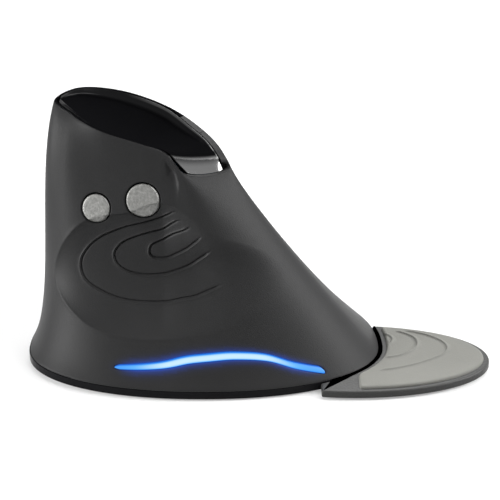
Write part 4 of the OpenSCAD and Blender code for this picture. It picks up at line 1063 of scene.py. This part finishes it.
def slab(loop, bottom, top, roll, low_roll):
    """A solid with rounded top and bottom edges over a loop that runs anticlockwise."""
    rings = []
    for a in np.linspace(0, math.pi / 2, 5):
        rings.append((low_roll * (1 - math.sin(a)), bottom + low_roll * (1 - math.cos(a))))
    for a in np.linspace(0, math.pi / 2, 7):
        rings.append((roll * (1 - math.cos(a)), top - roll * (1 - math.sin(a))))
    n = len(loop)
    points = [np.column_stack([inset_loop(loop, d), np.full(n, z)]) for d, z in rings]
    faces = []
    for k in range(len(rings) - 1):
        for i in range(n):
            j = (i + 1) % n
            faces.append((k * n + i, k * n + j, (k + 1) * n + j, (k + 1) * n + i))
    faces.append(tuple(range(n))[::-1])
    last = (len(rings) - 1) * n
    faces.append(tuple(range(last, last + n)))
    return np.concatenate(points), faces


def joined(*solids):
    points, faces, first = [], [], 0
    for p, f in solids:
        points.append(p)
        faces += [tuple(i + first for i in face) for face in f]
        first += len(p)
    return np.concatenate(points), faces


def rest_base():
    body = slab(rest_outline(0.0, REST_GAP, REST_CUT_X, 0.6), REST_BOTTOM, REST_BOTTOM + REST_T, 0.7, 0.4)
    x = np.array(TONGUE_X)
    flat = np.array([[x[0], -TONGUE_HALF], [x[1], -TONGUE_HALF], [x[1], TONGUE_HALF], [x[0], TONGUE_HALF]])
    c, q = math.cos(REST_TURN), math.sin(REST_TURN)
    turned = flat @ np.array([[c, q], [-q, c]])
    tongue = slab(round_corners(turned, 1.0), REST_BOTTOM, REST_BOTTOM + TONGUE_T, 0.2, 0.2)
    points, faces = joined(body, tongue)
    add_piece("rest_tray", points, faces, REST, "palm_rest", ["rest_base"], sharp=40)


rest_base()

PAD_LINES = [
    [[53.6, -1.5], [55.5, 0.4], [56.2, 2.6], [55.7, 4.6], [54.0, 6.5], [51.2, 8.8]],
    [[52.9, -8.8], [56.1, -8.2], [59.2, -6.6], [62.3, -3.4], [63.4, -0.9], [63.1, 3.0], [60.9, 5.9],
     [57.2, 8.5]],
    [[50.9, -16.8], [55.7, -15.6], [61.6, -13.1], [67.8, -9.1], [71.0, -6.0], [72.1, -3.4], [71.7, -0.2],
     [69.6, 3.0], [66.0, 5.9], [60.2, 8.5]]]
PAD_RIDGE, PAD_ROUND = 0.4, 0.8


def rest_pad():
    loop = rest_outline(PAD_EDGE, PAD_LIP, PAD_START_X, 2.2)
    ended = np.concatenate([loop[-1:], loop, loop[:1]])
    loose = [p for d in (0.08, 0.2, 0.4, 0.7, 1.1) for p in offset_line(ended, d)[1:-1][::2]]
    lines = []
    drawn = [curve(p, 90) for p in PAD_LINES]
    for line in drawn:
        for d in (-0.55, -0.35, -0.18, 0.0, 0.18, 0.35, 0.55):
            moved = offset_line(line, d)
            lines.append(moved[inside(moved, offset_line(ended, 1.3)[1:-1])])
    low, high = loop.min(0), loop.max(0)
    xy, faces = triangulate([loop], lines, loose, 0.7, low, high)
    xy, faces = compact(xy, faces[inside(xy[faces].mean(1), loop)])
    away = line_distance(xy, np.concatenate([loop, loop[:1]]))[0]
    height = np.full(len(xy), REST_BOTTOM + REST_T + PAD_T - PAD_RIDGE) - edge_roll(away, PAD_ROUND)
    for line in drawn:
        dist, _, place, run = line_distance(xy, line)
        fade = smooth(0, 2.0, place) * smooth(0, 2.0, run - place)
        height += PAD_RIDGE * (1 - smooth(0.12, 0.5, dist)) * fade
    top = np.column_stack([xy, height])
    low_side = np.column_stack([xy, np.full(len(xy), REST_BOTTOM + REST_T - 0.05)])
    points, shell = closed_solid(top, low_side, faces, np.tile((0.0, 0.0, 1.0), (len(xy), 1)))
    pad = add_piece("rest_cushion", points, shell, PAD, "palm_rest", ["rest_pad"], sharp=50)


rest_pad()


# Floor, backdrop, light and camera
FLOOR_HALF, FLOOR_GLOW, WORLD_FILL = 4.0, 0.35, 0.05


def seen_ray(nodes, links):
    """1 for the camera's rays and for those that metal, gloss and glass send on, else 0."""
    path = nodes.new("ShaderNodeLightPath").outputs
    seen = path["Is Camera Ray"]
    for kind in ("Is Glossy Ray", "Is Transmission Ray"):
        either = nodes.new("ShaderNodeMath")
        either.operation = "MAXIMUM"
        links.new(seen, either.inputs[0])
        links.new(path[kind], either.inputs[1])
        seen = either.outputs[0]
    return seen


def studio():
    floor_mesh = bpy.data.meshes.new("floor")
    r = FLOOR_HALF
    floor_mesh.from_pydata([(-r, -r, 0), (r, -r, 0), (r, r, 0), (-r, r, 0)], [], [(0, 1, 2, 3)])
    floor = bpy.data.objects.new("floor", floor_mesh)
    scene.collection.objects.link(floor)
    material, nodes, links, shader = new_material("white_floor")
    shader.inputs["Base Color"].default_value = (0.6, 0.6, 0.6, 1)
    shader.inputs["Roughness"].default_value = 0.8
    shader.inputs["Specular IOR Level"].default_value = 0.1
    glow = nodes.new("ShaderNodeEmission")
    glow.inputs["Color"].default_value = (1, 1, 1, 1)
    seen = seen_ray(nodes, links)
    part = nodes.new("ShaderNodeMath")
    part.operation = "MULTIPLY"
    part.inputs[1].default_value = FLOOR_GLOW
    links.new(seen, part.inputs[0])
    links.new(part.outputs[0], glow.inputs["Strength"])
    both = nodes.new("ShaderNodeAddShader")
    links.new(shader.outputs[0], both.inputs[0])
    links.new(glow.outputs[0], both.inputs[1])
    links.new(both.outputs[0], nodes["Material Output"].inputs["Surface"])
    floor_mesh.materials.append(material)

    world = bpy.data.worlds.new("studio")
    scene.world = world
    world.use_nodes = True
    nodes, links = world.node_tree.nodes, world.node_tree.links
    soft = nodes["Background"]
    soft.inputs["Color"].default_value = (1, 1, 1, 1)
    soft.inputs["Strength"].default_value = WORLD_FILL
    white = nodes.new("ShaderNodeBackground")
    white.inputs["Color"].default_value = (1, 1, 1, 1)
    white.inputs["Strength"].default_value = 1.0
    seen = seen_ray(nodes, links)
    mix = nodes.new("ShaderNodeMixShader")
    links.new(seen, mix.inputs["Fac"])
    links.new(soft.outputs[0], mix.inputs[1])
    links.new(white.outputs[0], mix.inputs[2])
    links.new(mix.outputs[0], nodes["World Output"].inputs["Surface"])


def lamp(name, place, aim, size, power):
    data = bpy.data.lights.new(name, "AREA")
    data.shape = "RECTANGLE"
    data.size, data.size_y = size
    data.energy = power
    obj = bpy.data.objects.new(name, data)
    obj.location = place
    obj.rotation_mode = "QUATERNION"
    obj.rotation_quaternion = (Vector(aim) - Vector(place)).to_track_quat("-Z", "Y")
    scene.collection.objects.link(obj)


studio()
lamp("top_softbox", (0.0, 0.5, 0.7), (0, 0, 0.03), (0.6, 0.5), 6.0)
lamp("left_softbox", (-0.77, -0.15, 0.25), (0, 0, 0.04), (0.3, 0.45), 8.0)
lamp("right_softbox", (0.72, 0.0, 0.42), (0, 0, 0.03), (0.35, 0.4), 6.5)
lamp("accent_softbox", (0.254, -0.055, 0.424), (-0.016, -0.005, 0.059), (0.2, 0.2), 0.9)

CAMERA_AIM = to_part(np.array([13.6, 5.0, 32.0]))
CAMERA_BACK = np.array([0.0, -math.cos(DRAW_TILT), math.sin(DRAW_TILT)])
CAMERA_DISTANCE = 0.62
camera_data = bpy.data.cameras.new("camera")
camera_data.sensor_width = 36.0
camera_data.lens = 151.8
camera_data.clip_start, camera_data.clip_end = 0.01, 20.0
camera = bpy.data.objects.new("camera", camera_data)
camera.location = CAMERA_AIM + CAMERA_BACK * CAMERA_DISTANCE
camera.rotation_mode = "QUATERNION"
camera.rotation_quaternion = Vector(-CAMERA_BACK).to_track_quat("-Z", "Y")
scene.collection.objects.link(camera)
scene.camera = camera
scene.view_settings.view_transform = "Standard"
